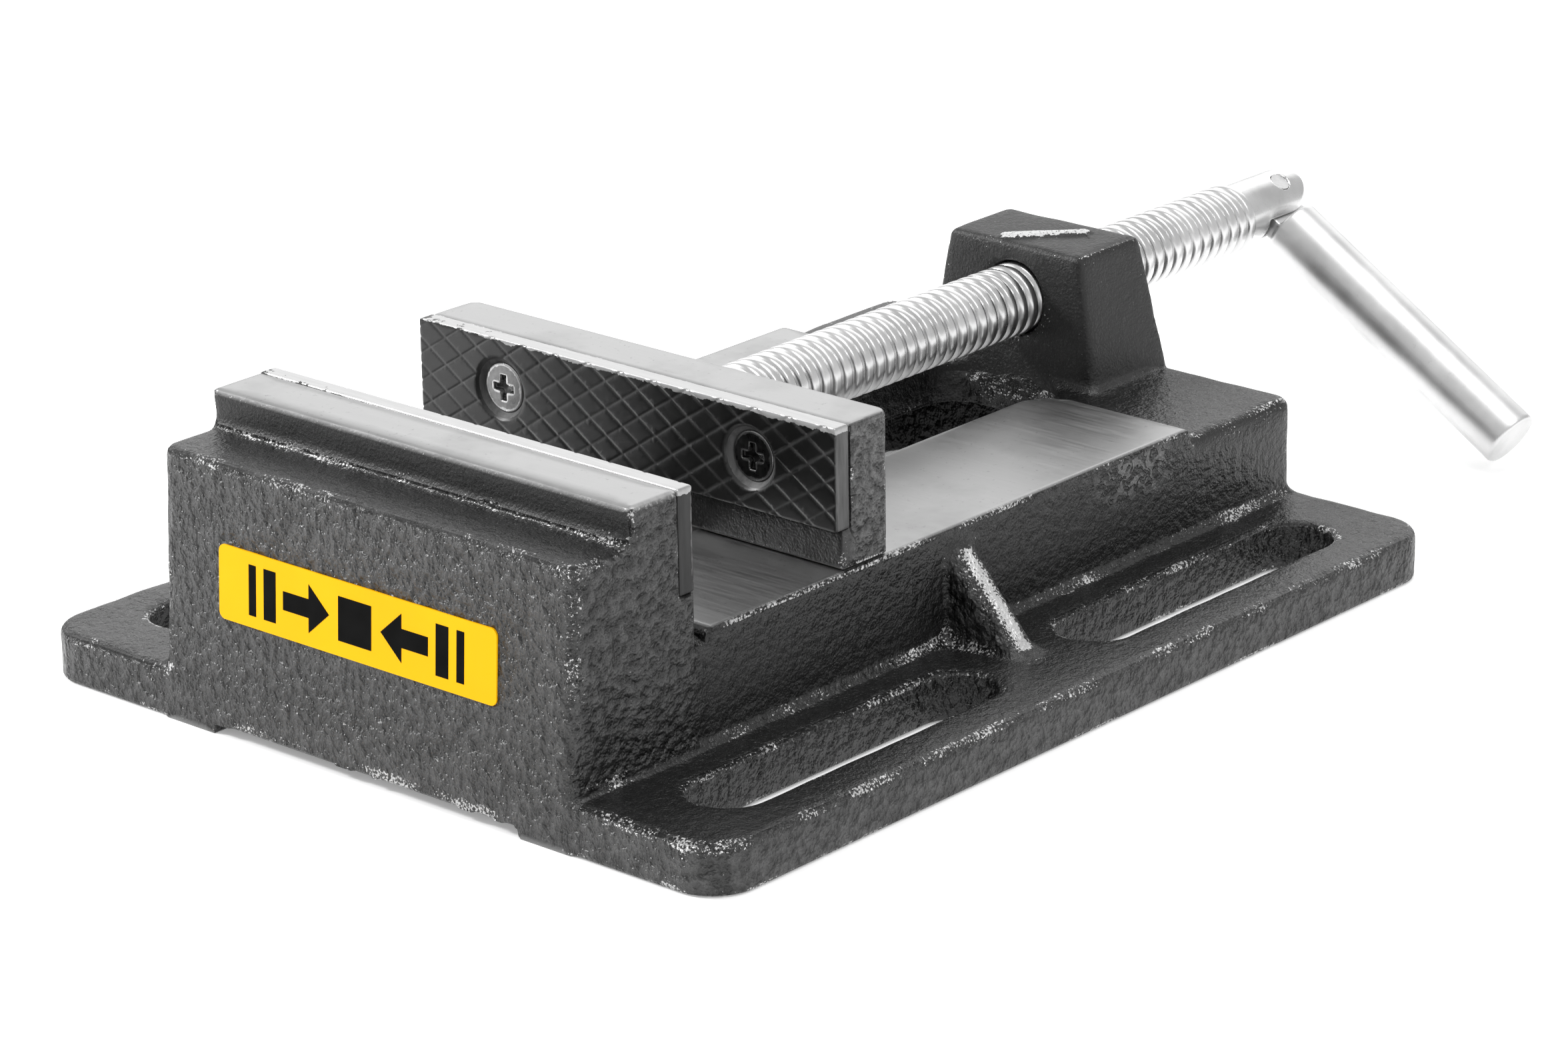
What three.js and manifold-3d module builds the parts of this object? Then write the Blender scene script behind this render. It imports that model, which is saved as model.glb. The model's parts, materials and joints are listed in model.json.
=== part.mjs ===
// Drill press vise with 100 mm jaws, modelled as separate pieces.
// Millimetres. +X runs from the fixed jaw to the handle, +Z is up and Y = 0 is the middle plane.
// Places along X are measured from the front edge of the base until the last step, which moves the
// whole vise so that the origin is under the middle of its length, on the surface it stands on.

import * as THREE from "three";
import { ConvexGeometry } from "three/addons/geometries/ConvexGeometry.js";
import { mergeVertices } from "three/addons/utils/BufferGeometryUtils.js";
import Module from "manifold-3d";

const wasm = await Module();
wasm.setup();

// ---- Driving dimensions ----

// Base flange
const BASE_LENGTH = 200;
const BASE_WIDTH = 164;
const FLANGE_THICKNESS = 9.5;
const FLANGE_CORNER_RADIUS = 9;
const FOOT_RECESS_WIDTH = 73;
const FOOT_RECESS_DEPTH = 1.8;

// Hold-down slots in the flange, and the web between them
const SLOT_WIDTH = 14.5;
const SLOT_LENGTH = 74;
const SLOT_END_MARGIN = 14;
const SLOT_FROM_WALL = 15.3;
const WEB_THICKNESS = 7;
const WEB_REACH = 16;
const WEB_BELOW_WAY = 3;

// Raised body that carries the two ways
const JAW_WIDTH = 100;
const BODY_END_MARGIN = 1;
const WALL_THICKNESS = 8;
const WAY_HEIGHT = 30.5;
const WAY_PAD_HEIGHT = 2;
const WAY_THICKNESS = 10;
const WAY_FRONT_GAP = 3.4;
const WAY_REAR_GAP = 9;
const CHANNEL_WIDTH = 30;
const CHANNEL_CORNER_RADIUS = 7;

// Fixed jaw
const FRONT_SETBACK = 2.5;
const FRONT_LEDGE_DEPTH = 13.2;
const FRONT_LEDGE_BELOW_TOP = 7;
const FRONT_CORNER_RADIUS = 3;
const FRONT_DRAFT = 2.27;
const FIXED_RIB_THICKNESS = 11.4;
const FRONT_WALL_THICKNESS = 7;
const JAW_HEIGHT_ABOVE_WAY = 26.5;

// Jaw plates and their countersunk screws
const PLATE_HEIGHT = 19;
const PLATE_THICKNESS = 3.6;
const PLATE_SCREW_SPACING = 60;
const PLATE_SCREW_RADIUS = 2.5;
const PLATE_SCREW_GRIP = 8;
const PLATE_SCREW_HEAD_RADIUS = 4.6;
const PLATE_SCREW_HEAD_RIM = 0.35;
const PLATE_SCREW_SUNK = 0.75;
const CROSS_RECESS_SPAN = 5;
const CROSS_RECESS_WIDTH = 1.1;
const CROSS_RECESS_DEPTH = 1.5;

// Moving jaw
const JAW_OPENING = 36.2;
const MOVING_LIP = 1.9;
const MOVING_BACK_THICKNESS = 11;
const GUIDE_FRONT_SETBACK = 3.5;
const GUIDE_LENGTH = 26;

// Keeper plate under the ways, with its bolts and washers
const KEEPER_WIDTH = 54;
const KEEPER_THICKNESS = 5;
const KEEPER_END_INSET = 2;
const KEEPER_BOLT_RADIUS = 3;
const KEEPER_BOLT_GRIP = 7.6;
const KEEPER_BOLT_INSET = 7;
const KEEPER_HEAD_HEIGHT = 4;
const KEEPER_HEAD_RADIUS = 5.77;
const FLAT_WASHER_RADIUS = 6;
const FLAT_WASHER_THICKNESS = 1.2;
const LOCK_WASHER_RADIUS = 5.4;
const LOCK_WASHER_THICKNESS = 1.6;
const LOCK_WASHER_SPLIT = 1;

// Lead screw
const SCREW_RADIUS = 7;
const SCREW_ABOVE_WAY = 13;
const SCREW_THREAD_LENGTH = 164.2;
const SCREW_THREAD_CHAMFER = 0.8;
const NOSE_RADIUS = 5;
const NOSE_DEPTH = 8.8;
const GROOVE_FROM_SHOULDER = 4;
const GROOVE_WIDTH = 3.4;
const GROOVE_RADIUS = 3.3;
const RETAINING_PIN_RADIUS = 1.5;
const RETAINING_PIN_BELOW_AXIS = 19.5;
const RETAINING_PIN_ABOVE_AXIS = 6;
const NECK_RADIUS = 6.25;
const NECK_LENGTH = 11.4;
const FORK_SLOT_WIDTH = 5;
const FORK_SLOT_DEPTH = 6.8;

// Nut boss at the rear, whose bore holds the screw
const BOSS_WALL_ABOVE_SCREW = 4;
const BOSS_TOP_LENGTH = 18.5;
const BOSS_TOP_WIDTH = 32;
const BOSS_FOOT_WIDTH = 40.8;
const BOSS_FRONT_SLOPE = 1;
const BOSS_REAR_SLOPE = 4;

// Folding handle lever
const LEVER_RADIUS = 6;
const LEVER_LENGTH = 71;
const LEVER_SHOULDER = 7.1;
const LEVER_END_CHAMFER = 0.6;
const TONGUE_RADIUS = 5.4;
const LEVER_FLOOR_CLEARANCE = 1;
const HANDLE_PIN_RADIUS = 2;

// Label on the front face
const LABEL_WIDTH = 67;
const LABEL_HEIGHT = 13.6;
const LABEL_THICKNESS = 0.3;
const LABEL_CORNER_RADIUS = 1.4;
const LABEL_CENTRE_Y = 1.1;
const LABEL_CENTRE_HEIGHT = 28.9;

// Clearances
const SLIDE_GAP = 0.2;
const SEAT_GAP = 0.05;
const HOLE_CLEARANCE = 0.2;
const TURNING_CLEARANCE = 0.25;
const BLIND_END_GAP = 0.5;
const FORK_CLEARANCE = 0.3;

// Facets on round features, and the overlap that joins two bodies before they become one
const ROUND_SIDES = 32;
const SMALL_ROUND_SIDES = 16;
const HEX_SIDES = 6;
const CORNER_STEPS = 6;
const JOIN = 1;

// ---- Places worked out from the driving dimensions ----

const HALF_BODY = JAW_WIDTH / 2;
const HALF_CHANNEL = CHANNEL_WIDTH / 2;
const BODY_REAR_X = BASE_LENGTH - BODY_END_MARGIN;
const DECK_HEIGHT = WAY_HEIGHT - WAY_PAD_HEIGHT;
const WAY_UNDERSIDE = WAY_HEIGHT - WAY_THICKNESS;
const JAW_TOP = WAY_HEIGHT + JAW_HEIGHT_ABOVE_WAY;
const PLATE_BOTTOM = JAW_TOP - PLATE_HEIGHT;
const PLATE_CENTRE_HEIGHT = JAW_TOP - PLATE_HEIGHT / 2;
const LEDGE_HEIGHT = JAW_TOP - FRONT_LEDGE_BELOW_TOP;
const RIB_FRONT_X = FRONT_SETBACK + FRONT_LEDGE_DEPTH;
const FIXED_SEAT_X = RIB_FRONT_X + FIXED_RIB_THICKNESS;
const FIXED_FACE_X = FIXED_SEAT_X + PLATE_THICKNESS;
const MOVING_FACE_X = FIXED_FACE_X + JAW_OPENING;
const MOVING_SEAT_X = MOVING_FACE_X + PLATE_THICKNESS;
const MOVING_REAR_X = MOVING_SEAT_X + MOVING_BACK_THICKNESS;
const LIP_X = MOVING_SEAT_X - MOVING_LIP;
const CHANNEL_FRONT_X = FIXED_FACE_X + WAY_FRONT_GAP;

const SCREW_HEIGHT = WAY_HEIGHT + SCREW_ABOVE_WAY;
const SHOULDER_X = MOVING_REAR_X + HOLE_CLEARANCE;
const THREAD_END_X = SHOULDER_X + SCREW_THREAD_LENGTH;
const HANDLE_PIN_X = THREAD_END_X + NECK_LENGTH;
const SCREW_TIP_X = HANDLE_PIN_X + NECK_RADIUS;

const BOSS_TOP = SCREW_HEIGHT + SCREW_RADIUS + BOSS_WALL_ABOVE_SCREW;
const BOSS_FRONT_X = BODY_REAR_X - BOSS_REAR_SLOPE - BOSS_TOP_LENGTH - BOSS_FRONT_SLOPE;
const WAY_REAR_X = BOSS_FRONT_X - WAY_REAR_GAP;

const GUIDE_FRONT_X = LIP_X + GUIDE_FRONT_SETBACK;
const GUIDE_REAR_X = GUIDE_FRONT_X + GUIDE_LENGTH;
const GUIDE_BOTTOM = WAY_UNDERSIDE - SLIDE_GAP;
const KEEPER_TOP = GUIDE_BOTTOM - SEAT_GAP;
const KEEPER_BOTTOM = KEEPER_TOP - KEEPER_THICKNESS;
const KEEPER_BOLT_X = [GUIDE_FRONT_X + KEEPER_BOLT_INSET, GUIDE_REAR_X - KEEPER_BOLT_INSET];

const RETAINING_PIN_X = SHOULDER_X - GROOVE_FROM_SHOULDER - GROOVE_WIDTH / 2;
const RETAINING_PIN_Y = GROOVE_RADIUS + RETAINING_PIN_RADIUS + HOLE_CLEARANCE;

// The lever hangs at the angle that leaves its tip just above the surface the vise stands on.
const LEVER_REACH = Math.hypot(LEVER_LENGTH, LEVER_RADIUS);
const LEVER_DROOP = Math.asin((SCREW_HEIGHT - LEVER_FLOOR_CLEARANCE) / LEVER_REACH)
  - Math.atan2(LEVER_RADIUS, LEVER_LENGTH);

// ---- Solids ----

const X_AXIS = new THREE.Vector3(1, 0, 0);
const Y_AXIS = new THREE.Vector3(0, 1, 0);
const Z_AXIS = new THREE.Vector3(0, 0, 1);

// A closed three.js geometry as a solid that can be cut and joined.
function toSolid(geometry) {
  geometry.deleteAttribute("normal");
  geometry.deleteAttribute("uv");
  const merged = mergeVertices(geometry, 1e-4);
  return new wasm.Manifold(new wasm.Mesh({
    numProp: 3,
    vertProperties: Float32Array.from(merged.attributes.position.array),
    triVerts: Uint32Array.from(merged.index.array),
  }));
}

function toGeometry(solid) {
  const mesh = solid.getMesh();
  const geometry = new THREE.BufferGeometry();
  geometry.setAttribute("position", new THREE.BufferAttribute(mesh.vertProperties, 3));
  geometry.setIndex(new THREE.BufferAttribute(mesh.triVerts, 1));
  geometry.computeVertexNormals();
  return geometry;
}

function join(solids) {
  return solids.reduce((whole, solid) => whole.add(solid));
}

function cut(solid, tools) {
  return tools.reduce((rest, tool) => rest.subtract(tool), solid);
}

function box([x0, x1], [y0, y1], [z0, z1]) {
  const geometry = new THREE.BoxGeometry(x1 - x0, y1 - y0, z1 - z0);
  geometry.translate((x0 + x1) / 2, (y0 + y1) / 2, (z0 + z1) / 2);
  return toSolid(geometry);
}

function extrude(shape, depth) {
  return new THREE.ExtrudeGeometry(shape, { depth, bevelEnabled: false, curveSegments: CORNER_STEPS });
}

// An outline drawn in X and Y, raised from z0 to z1.
function raised(shape, z0, z1) {
  const geometry = extrude(shape, z1 - z0);
  geometry.translate(0, 0, z0);
  return toSolid(geometry);
}

// An outline drawn in X and Z, running across the vise between -halfWidth and halfWidth.
function across(shape, halfWidth) {
  const geometry = extrude(shape, 2 * halfWidth);
  geometry.applyMatrix4(new THREE.Matrix4().makeBasis(X_AXIS, Z_AXIS, Y_AXIS.clone().negate()));
  geometry.translate(0, halfWidth, 0);
  return toSolid(geometry);
}

// An outline drawn in Y and Z, running along the vise from x0 to x1.
function along(shape, x0, x1) {
  const geometry = extrude(shape, x1 - x0);
  geometry.applyMatrix4(new THREE.Matrix4().makeBasis(Y_AXIS, Z_AXIS, X_AXIS));
  geometry.translate(x0, 0, 0);
  return toSolid(geometry);
}

function outline(points) {
  return new THREE.Shape(points.map(([a, b]) => new THREE.Vector2(a, b)));
}

function roundedRectangle([x0, x1], [y0, y1], radius) {
  const shape = new THREE.Shape();
  shape.absarc(x1 - radius, y0 + radius, radius, -Math.PI / 2, 0);
  shape.absarc(x1 - radius, y1 - radius, radius, 0, Math.PI / 2);
  shape.absarc(x0 + radius, y1 - radius, radius, Math.PI / 2, Math.PI);
  shape.absarc(x0 + radius, y0 + radius, radius, Math.PI, 1.5 * Math.PI);
  return shape;
}

// A solid of revolution about a line along X. The profile lists [x, radius] and closes on the axis.
function turned(profile, [y, z] = [0, SCREW_HEIGHT], sides = ROUND_SIDES) {
  const closed = [[profile[0][0], 0], ...profile, [profile.at(-1)[0], 0]];
  const geometry = new THREE.LatheGeometry(closed.map(([x, r]) => new THREE.Vector2(r, x)), sides);
  geometry.rotateZ(-Math.PI / 2);
  geometry.translate(0, y, z);
  return toSolid(geometry);
}

function rodAlongX([x0, x1], radius, [y, z], sides) {
  return turned([[x0, radius], [x1, radius]], [y, z], sides);
}

function rodAlongZ([x, y], radius, [z0, z1], sides = SMALL_ROUND_SIDES) {
  const geometry = new THREE.CylinderGeometry(radius, radius, z1 - z0, sides);
  geometry.rotateX(Math.PI / 2);
  geometry.translate(x, y, (z0 + z1) / 2);
  return toSolid(geometry);
}

// ---- Base casting: flange, body with the ways, fixed jaw and nut boss in one piece ----

// A slot with half-round ends.
function slotOutline(frontX, y) {
  const end = SLOT_WIDTH / 2;
  const shape = new THREE.Shape();
  shape.absarc(frontX + end, y, end, Math.PI / 2, 1.5 * Math.PI);
  shape.absarc(frontX + SLOT_LENGTH - end, y, end, -Math.PI / 2, Math.PI / 2);
  return shape;
}

function holdDownSlots() {
  const y = HALF_BODY + SLOT_FROM_WALL;
  const fronts = [SLOT_END_MARGIN, BASE_LENGTH - SLOT_END_MARGIN - SLOT_LENGTH];
  return fronts.flatMap((x) => [-y, y].map((side) =>
    raised(slotOutline(x, side), -JOIN, FLANGE_THICKNESS + JOIN)));
}

// The triangular web stands in the middle of the length, between the two slots of one side.
function web(side) {
  const foot = FLANGE_THICKNESS - JOIN;
  const points = [
    [side * (HALF_BODY - JOIN), foot],
    [side * (HALF_BODY + WEB_REACH + JOIN), foot],
    [side * (HALF_BODY - JOIN), WAY_HEIGHT - WEB_BELOW_WAY + JOIN],
  ];
  const middle = BASE_LENGTH / 2;
  const shape = outline(side > 0 ? points : points.toReversed());
  return along(shape, middle - WEB_THICKNESS / 2, middle + WEB_THICKNESS / 2);
}

// The front face leans: it stands further forward at the flange than at the ledge.
function frontFaceX(z) {
  return FRONT_SETBACK - FRONT_DRAFT * (LEDGE_HEIGHT - z) / (LEDGE_HEIGHT - FLANGE_THICKNESS);
}

function fixedJawBlock() {
  const foot = FLANGE_THICKNESS - JOIN;
  const upright = raised(
    roundedRectangle([FRONT_SETBACK, FIXED_SEAT_X], [-HALF_BODY, HALF_BODY], FRONT_CORNER_RADIUS),
    foot, LEDGE_HEIGHT);
  const frontBlock = upright.warp((corner) => {
    if (corner[0] < RIB_FRONT_X && corner[2] < LEDGE_HEIGHT - JOIN) {
      corner[0] += frontFaceX(foot) - FRONT_SETBACK;
    }
  });
  const rib = box([RIB_FRONT_X, FIXED_SEAT_X], [-HALF_BODY, HALF_BODY], [0, JAW_TOP]);
  const plateLedge = box([FIXED_SEAT_X - JOIN, FIXED_FACE_X], [-HALF_BODY, HALF_BODY], [0, PLATE_BOTTOM]);
  return join([frontBlock, rib, plateLedge]);
}

// The two ways are one raised pad until the channel cut parts them.
function wayPad() {
  return box([CHANNEL_FRONT_X, WAY_REAR_X], [-HALF_BODY, HALF_BODY], [DECK_HEIGHT - JOIN, WAY_HEIGHT]);
}

function nutBoss() {
  const halfTop = BOSS_TOP_WIDTH / 2;
  const halfFoot = BOSS_FOOT_WIDTH / 2;
  const topFront = BOSS_FRONT_X + BOSS_FRONT_SLOPE;
  const foot = DECK_HEIGHT - JOIN;
  const corners = [-1, 1].flatMap((side) => [
    new THREE.Vector3(BOSS_FRONT_X, side * halfFoot, foot),
    new THREE.Vector3(BODY_REAR_X, side * halfFoot, foot),
    new THREE.Vector3(topFront, side * halfTop, BOSS_TOP),
    new THREE.Vector3(topFront + BOSS_TOP_LENGTH, side * halfTop, BOSS_TOP),
  ]);
  return toSolid(new ConvexGeometry(corners));
}

function undersideCuts() {
  const inside = HALF_BODY - WALL_THICKNESS;
  const hollowX = [CHANNEL_FRONT_X, BODY_REAR_X - WALL_THICKNESS];
  const jawHollowX = [FRONT_SETBACK + FRONT_WALL_THICKNESS, FIXED_SEAT_X - FRONT_WALL_THICKNESS / 2];
  const recess = FOOT_RECESS_WIDTH / 2;
  return [
    box(hollowX, [-inside, inside], [-JOIN, WAY_UNDERSIDE]),
    box(jawHollowX, [-inside, inside], [-JOIN, PLATE_BOTTOM]),
    box([-JOIN, BASE_LENGTH + JOIN], [-recess, recess], [-JOIN, FOOT_RECESS_DEPTH]),
  ];
}

function channelCut() {
  const shape = roundedRectangle(
    [CHANNEL_FRONT_X, BOSS_FRONT_X], [-HALF_CHANNEL, HALF_CHANNEL], CHANNEL_CORNER_RADIUS);
  return raised(shape, -JOIN, WAY_HEIGHT + JOIN);
}

function baseCasting() {
  const flange = raised(
    roundedRectangle([0, BASE_LENGTH], [-BASE_WIDTH / 2, BASE_WIDTH / 2], FLANGE_CORNER_RADIUS),
    0, FLANGE_THICKNESS);
  const body = box([RIB_FRONT_X, BODY_REAR_X], [-HALF_BODY, HALF_BODY], [0, DECK_HEIGHT]);
  const shell = cut(
    join([flange, body, fixedJawBlock(), wayPad(), web(1), web(-1)]),
    [...undersideCuts(), ...holdDownSlots()]);
  const bore = rodAlongX(
    [BOSS_FRONT_X - JOIN, BASE_LENGTH], SCREW_RADIUS + TURNING_CLEARANCE, [0, SCREW_HEIGHT]);
  return cut(shell.add(nutBoss()), [channelCut(), bore, ...plateScrewHoles(FIXED_SEAT_X, -1)]);
}

// ---- Jaw plates and their screws ----

// Places of the plate screws across the jaw, in the middle of the plate's height.
const PLATE_SCREW_PLACES = [-PLATE_SCREW_SPACING / 2, PLATE_SCREW_SPACING / 2].map(
  (y) => [y, PLATE_CENTRE_HEIGHT]);

// Holes in a casting behind a plate. intoCasting is +1 or -1, the way the screws point along X.
function plateScrewHoles(seatX, intoCasting) {
  const end = seatX + intoCasting * (PLATE_SCREW_GRIP + BLIND_END_GAP);
  const span = [Math.min(seatX - intoCasting * JOIN, end), Math.max(seatX - intoCasting * JOIN, end)];
  return PLATE_SCREW_PLACES.map((place) =>
    rodAlongX(span, PLATE_SCREW_RADIUS + HOLE_CLEARANCE, place, SMALL_ROUND_SIDES));
}

// The head's outline from its face down to the shank: [depth below the plate's face, radius].
function headProfile(clearance) {
  const cone = PLATE_SCREW_HEAD_RADIUS - PLATE_SCREW_RADIUS;
  const rim = PLATE_SCREW_SUNK + PLATE_SCREW_HEAD_RIM;
  return [
    [rim, PLATE_SCREW_HEAD_RADIUS + clearance],
    [rim + cone, PLATE_SCREW_RADIUS + clearance],
  ];
}

// faceX is the gripping face, and intoCasting is the way from it to the casting along X.
function jawPlate(faceX, intoCasting) {
  const backX = faceX + intoCasting * (PLATE_THICKNESS - SEAT_GAP);
  const plate = box(
    [Math.min(faceX, backX), Math.max(faceX, backX)],
    [-HALF_BODY, HALF_BODY],
    [PLATE_BOTTOM + SEAT_GAP, JAW_TOP]);
  const holes = PLATE_SCREW_PLACES.map((place) => {
    const [rim, cone] = headProfile(HOLE_CLEARANCE);
    const profile = [[-JOIN, rim[1]], rim, cone, [PLATE_THICKNESS + JOIN, cone[1]]];
    return placedAlongX(profile, faceX, intoCasting, place);
  });
  return cut(plate, holes);
}

// A turned profile measured from faceX towards the casting.
function placedAlongX(profile, faceX, intoCasting, place) {
  const placed = profile.map(([depth, radius]) => [faceX + intoCasting * depth, radius]);
  return turned(intoCasting > 0 ? placed : placed.toReversed(), place);
}

function plateScrew(faceX, intoCasting, place) {
  const [rim, cone] = headProfile(0);
  const tip = PLATE_THICKNESS + PLATE_SCREW_GRIP;
  const profile = [[PLATE_SCREW_SUNK, rim[1]], rim, cone, [tip, cone[1]]];
  const screw = placedAlongX(profile, faceX, intoCasting, place);
  const bottom = faceX + intoCasting * (PLATE_SCREW_SUNK + CROSS_RECESS_DEPTH);
  const mouth = faceX - intoCasting * JOIN;
  const recessX = [Math.min(bottom, mouth), Math.max(bottom, mouth)];
  const [y, z] = place;
  const long = CROSS_RECESS_SPAN / 2;
  const short = CROSS_RECESS_WIDTH / 2;
  return cut(screw, [
    box(recessX, [y - long, y + long], [z - short, z + short]),
    box(recessX, [y - short, y + short], [z - long, z + long]),
  ]);
}

// ---- Moving jaw and the pieces that hold it down on the ways ----

function movingJaw() {
  const foot = WAY_HEIGHT + SLIDE_GAP;
  const profile = outline([
    [LIP_X, foot],
    [MOVING_REAR_X, foot],
    [MOVING_REAR_X, JAW_TOP],
    [MOVING_SEAT_X, JAW_TOP],
    [MOVING_SEAT_X, PLATE_BOTTOM],
    [LIP_X, PLATE_BOTTOM],
  ]);
  const halfGuide = HALF_CHANNEL - SLIDE_GAP;
  const guideShape = roundedRectangle(
    [GUIDE_FRONT_X, GUIDE_REAR_X], [-halfGuide, halfGuide], CHANNEL_CORNER_RADIUS);
  const guide = raised(guideShape, GUIDE_BOTTOM, foot + SLIDE_GAP);
  const noseHole = rodAlongX(
    [SHOULDER_X - NOSE_DEPTH - BLIND_END_GAP, MOVING_REAR_X + JOIN],
    NOSE_RADIUS + TURNING_CLEARANCE, [0, SCREW_HEIGHT]);
  const pinTop = SCREW_HEIGHT + RETAINING_PIN_ABOVE_AXIS + BLIND_END_GAP;
  const pinHoles = [-1, 1].map((side) => rodAlongZ(
    [RETAINING_PIN_X, side * RETAINING_PIN_Y], RETAINING_PIN_RADIUS + HOLE_CLEARANCE,
    [GUIDE_BOTTOM - JOIN, pinTop]));
  const boltHoles = KEEPER_BOLT_X.map((x) => rodAlongZ(
    [x, 0], KEEPER_BOLT_RADIUS + HOLE_CLEARANCE,
    [GUIDE_BOTTOM - JOIN, GUIDE_BOTTOM + KEEPER_BOLT_GRIP + BLIND_END_GAP]));
  return cut(across(profile, HALF_BODY).add(guide),
    [noseHole, ...pinHoles, ...boltHoles, ...plateScrewHoles(MOVING_SEAT_X, 1)]);
}

function keeperPlate() {
  const plate = box(
    [GUIDE_FRONT_X + KEEPER_END_INSET, GUIDE_REAR_X - KEEPER_END_INSET],
    [-KEEPER_WIDTH / 2, KEEPER_WIDTH / 2],
    [KEEPER_BOTTOM, KEEPER_TOP]);
  const holes = KEEPER_BOLT_X.map((x) => rodAlongZ(
    [x, 0], KEEPER_BOLT_RADIUS + HOLE_CLEARANCE, [KEEPER_BOTTOM - JOIN, KEEPER_TOP + JOIN]));
  return cut(plate, holes);
}

const FLAT_WASHER_TOP = KEEPER_BOTTOM - SEAT_GAP;
const LOCK_WASHER_TOP = FLAT_WASHER_TOP - FLAT_WASHER_THICKNESS - SEAT_GAP;
const BOLT_HEAD_TOP = LOCK_WASHER_TOP - LOCK_WASHER_THICKNESS - SEAT_GAP;

function washer(x, radius, top, thickness) {
  const ring = rodAlongZ([x, 0], radius, [top - thickness, top]);
  return cut(ring, [rodAlongZ(
    [x, 0], KEEPER_BOLT_RADIUS + HOLE_CLEARANCE, [top - thickness - JOIN, top + JOIN])]);
}

function lockWasher(x) {
  const ring = washer(x, LOCK_WASHER_RADIUS, LOCK_WASHER_TOP, LOCK_WASHER_THICKNESS);
  const split = LOCK_WASHER_SPLIT / 2;
  return cut(ring, [box(
    [x, x + LOCK_WASHER_RADIUS + JOIN], [-split, split],
    [LOCK_WASHER_TOP - LOCK_WASHER_THICKNESS - JOIN, LOCK_WASHER_TOP + JOIN])]);
}

function keeperBolt(x) {
  const headBottom = BOLT_HEAD_TOP - KEEPER_HEAD_HEIGHT;
  const shankTop = GUIDE_BOTTOM + KEEPER_BOLT_GRIP;
  const head = rodAlongZ([x, 0], KEEPER_HEAD_RADIUS, [headBottom, BOLT_HEAD_TOP], HEX_SIDES);
  const shank = rodAlongZ([x, 0], KEEPER_BOLT_RADIUS, [BOLT_HEAD_TOP - JOIN, shankTop]);
  return head.add(shank);
}

function retainingPin(side) {
  return rodAlongZ([RETAINING_PIN_X, side * RETAINING_PIN_Y], RETAINING_PIN_RADIUS,
    [SCREW_HEIGHT - RETAINING_PIN_BELOW_AXIS, SCREW_HEIGHT + RETAINING_PIN_ABOVE_AXIS]);
}

// ---- Lead screw, lever and their pin ----

// These three pieces are drawn about the screw's axis at the origin, with the lever along -Y and its
// pin along Z. handleFrame then lifts them to the screw's height and tilts them by the lever's droop.

function handleFrame() {
  const frame = new THREE.Group();
  frame.position.z = SCREW_HEIGHT;
  frame.rotation.x = LEVER_DROOP;
  return frame;
}

// The groove takes the two retaining pins, and the fork at the other end takes the lever's tongue.
function leadScrew() {
  const groove = [RETAINING_PIN_X - GROOVE_WIDTH / 2, RETAINING_PIN_X + GROOVE_WIDTH / 2];
  const body = turned([
    [SHOULDER_X - NOSE_DEPTH, NOSE_RADIUS],
    [groove[0], NOSE_RADIUS],
    [groove[0], GROOVE_RADIUS],
    [groove[1], GROOVE_RADIUS],
    [groove[1], NOSE_RADIUS],
    [SHOULDER_X, NOSE_RADIUS],
    [SHOULDER_X, SCREW_RADIUS - SCREW_THREAD_CHAMFER],
    [SHOULDER_X + SCREW_THREAD_CHAMFER, SCREW_RADIUS],
    [THREAD_END_X - SCREW_THREAD_CHAMFER, SCREW_RADIUS],
    [THREAD_END_X, NECK_RADIUS],
    [SCREW_TIP_X + JOIN, NECK_RADIUS],
  ], [0, 0]);
  const keptShape = new THREE.Shape();
  keptShape.moveTo(SHOULDER_X - NOSE_DEPTH - JOIN, -SCREW_RADIUS - JOIN);
  keptShape.lineTo(THREAD_END_X + JOIN, -SCREW_RADIUS - JOIN);
  keptShape.lineTo(THREAD_END_X + JOIN, -NECK_RADIUS);
  keptShape.absarc(HANDLE_PIN_X, 0, NECK_RADIUS, -Math.PI / 2, Math.PI / 2);
  keptShape.lineTo(THREAD_END_X + JOIN, NECK_RADIUS);
  keptShape.lineTo(THREAD_END_X + JOIN, SCREW_RADIUS + JOIN);
  keptShape.lineTo(SHOULDER_X - NOSE_DEPTH - JOIN, SCREW_RADIUS + JOIN);
  const kept = raised(keptShape, -SCREW_RADIUS - JOIN, SCREW_RADIUS + JOIN);
  const halfSlot = FORK_SLOT_WIDTH / 2;
  const forkSlot = box(
    [HANDLE_PIN_X - FORK_SLOT_DEPTH, SCREW_TIP_X + JOIN],
    [-SCREW_RADIUS, SCREW_RADIUS],
    [-halfSlot, halfSlot]);
  return cut(body.intersect(kept), [forkSlot, handlePinHole()]);
}

function handlePinHole() {
  return rodAlongZ([HANDLE_PIN_X, 0], HANDLE_PIN_RADIUS + HOLE_CLEARANCE, [-SCREW_RADIUS, SCREW_RADIUS]);
}

function handlePin() {
  const half = NECK_RADIUS - FORK_CLEARANCE;
  return rodAlongZ([HANDLE_PIN_X, 0], HANDLE_PIN_RADIUS, [-half, half]);
}

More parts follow.
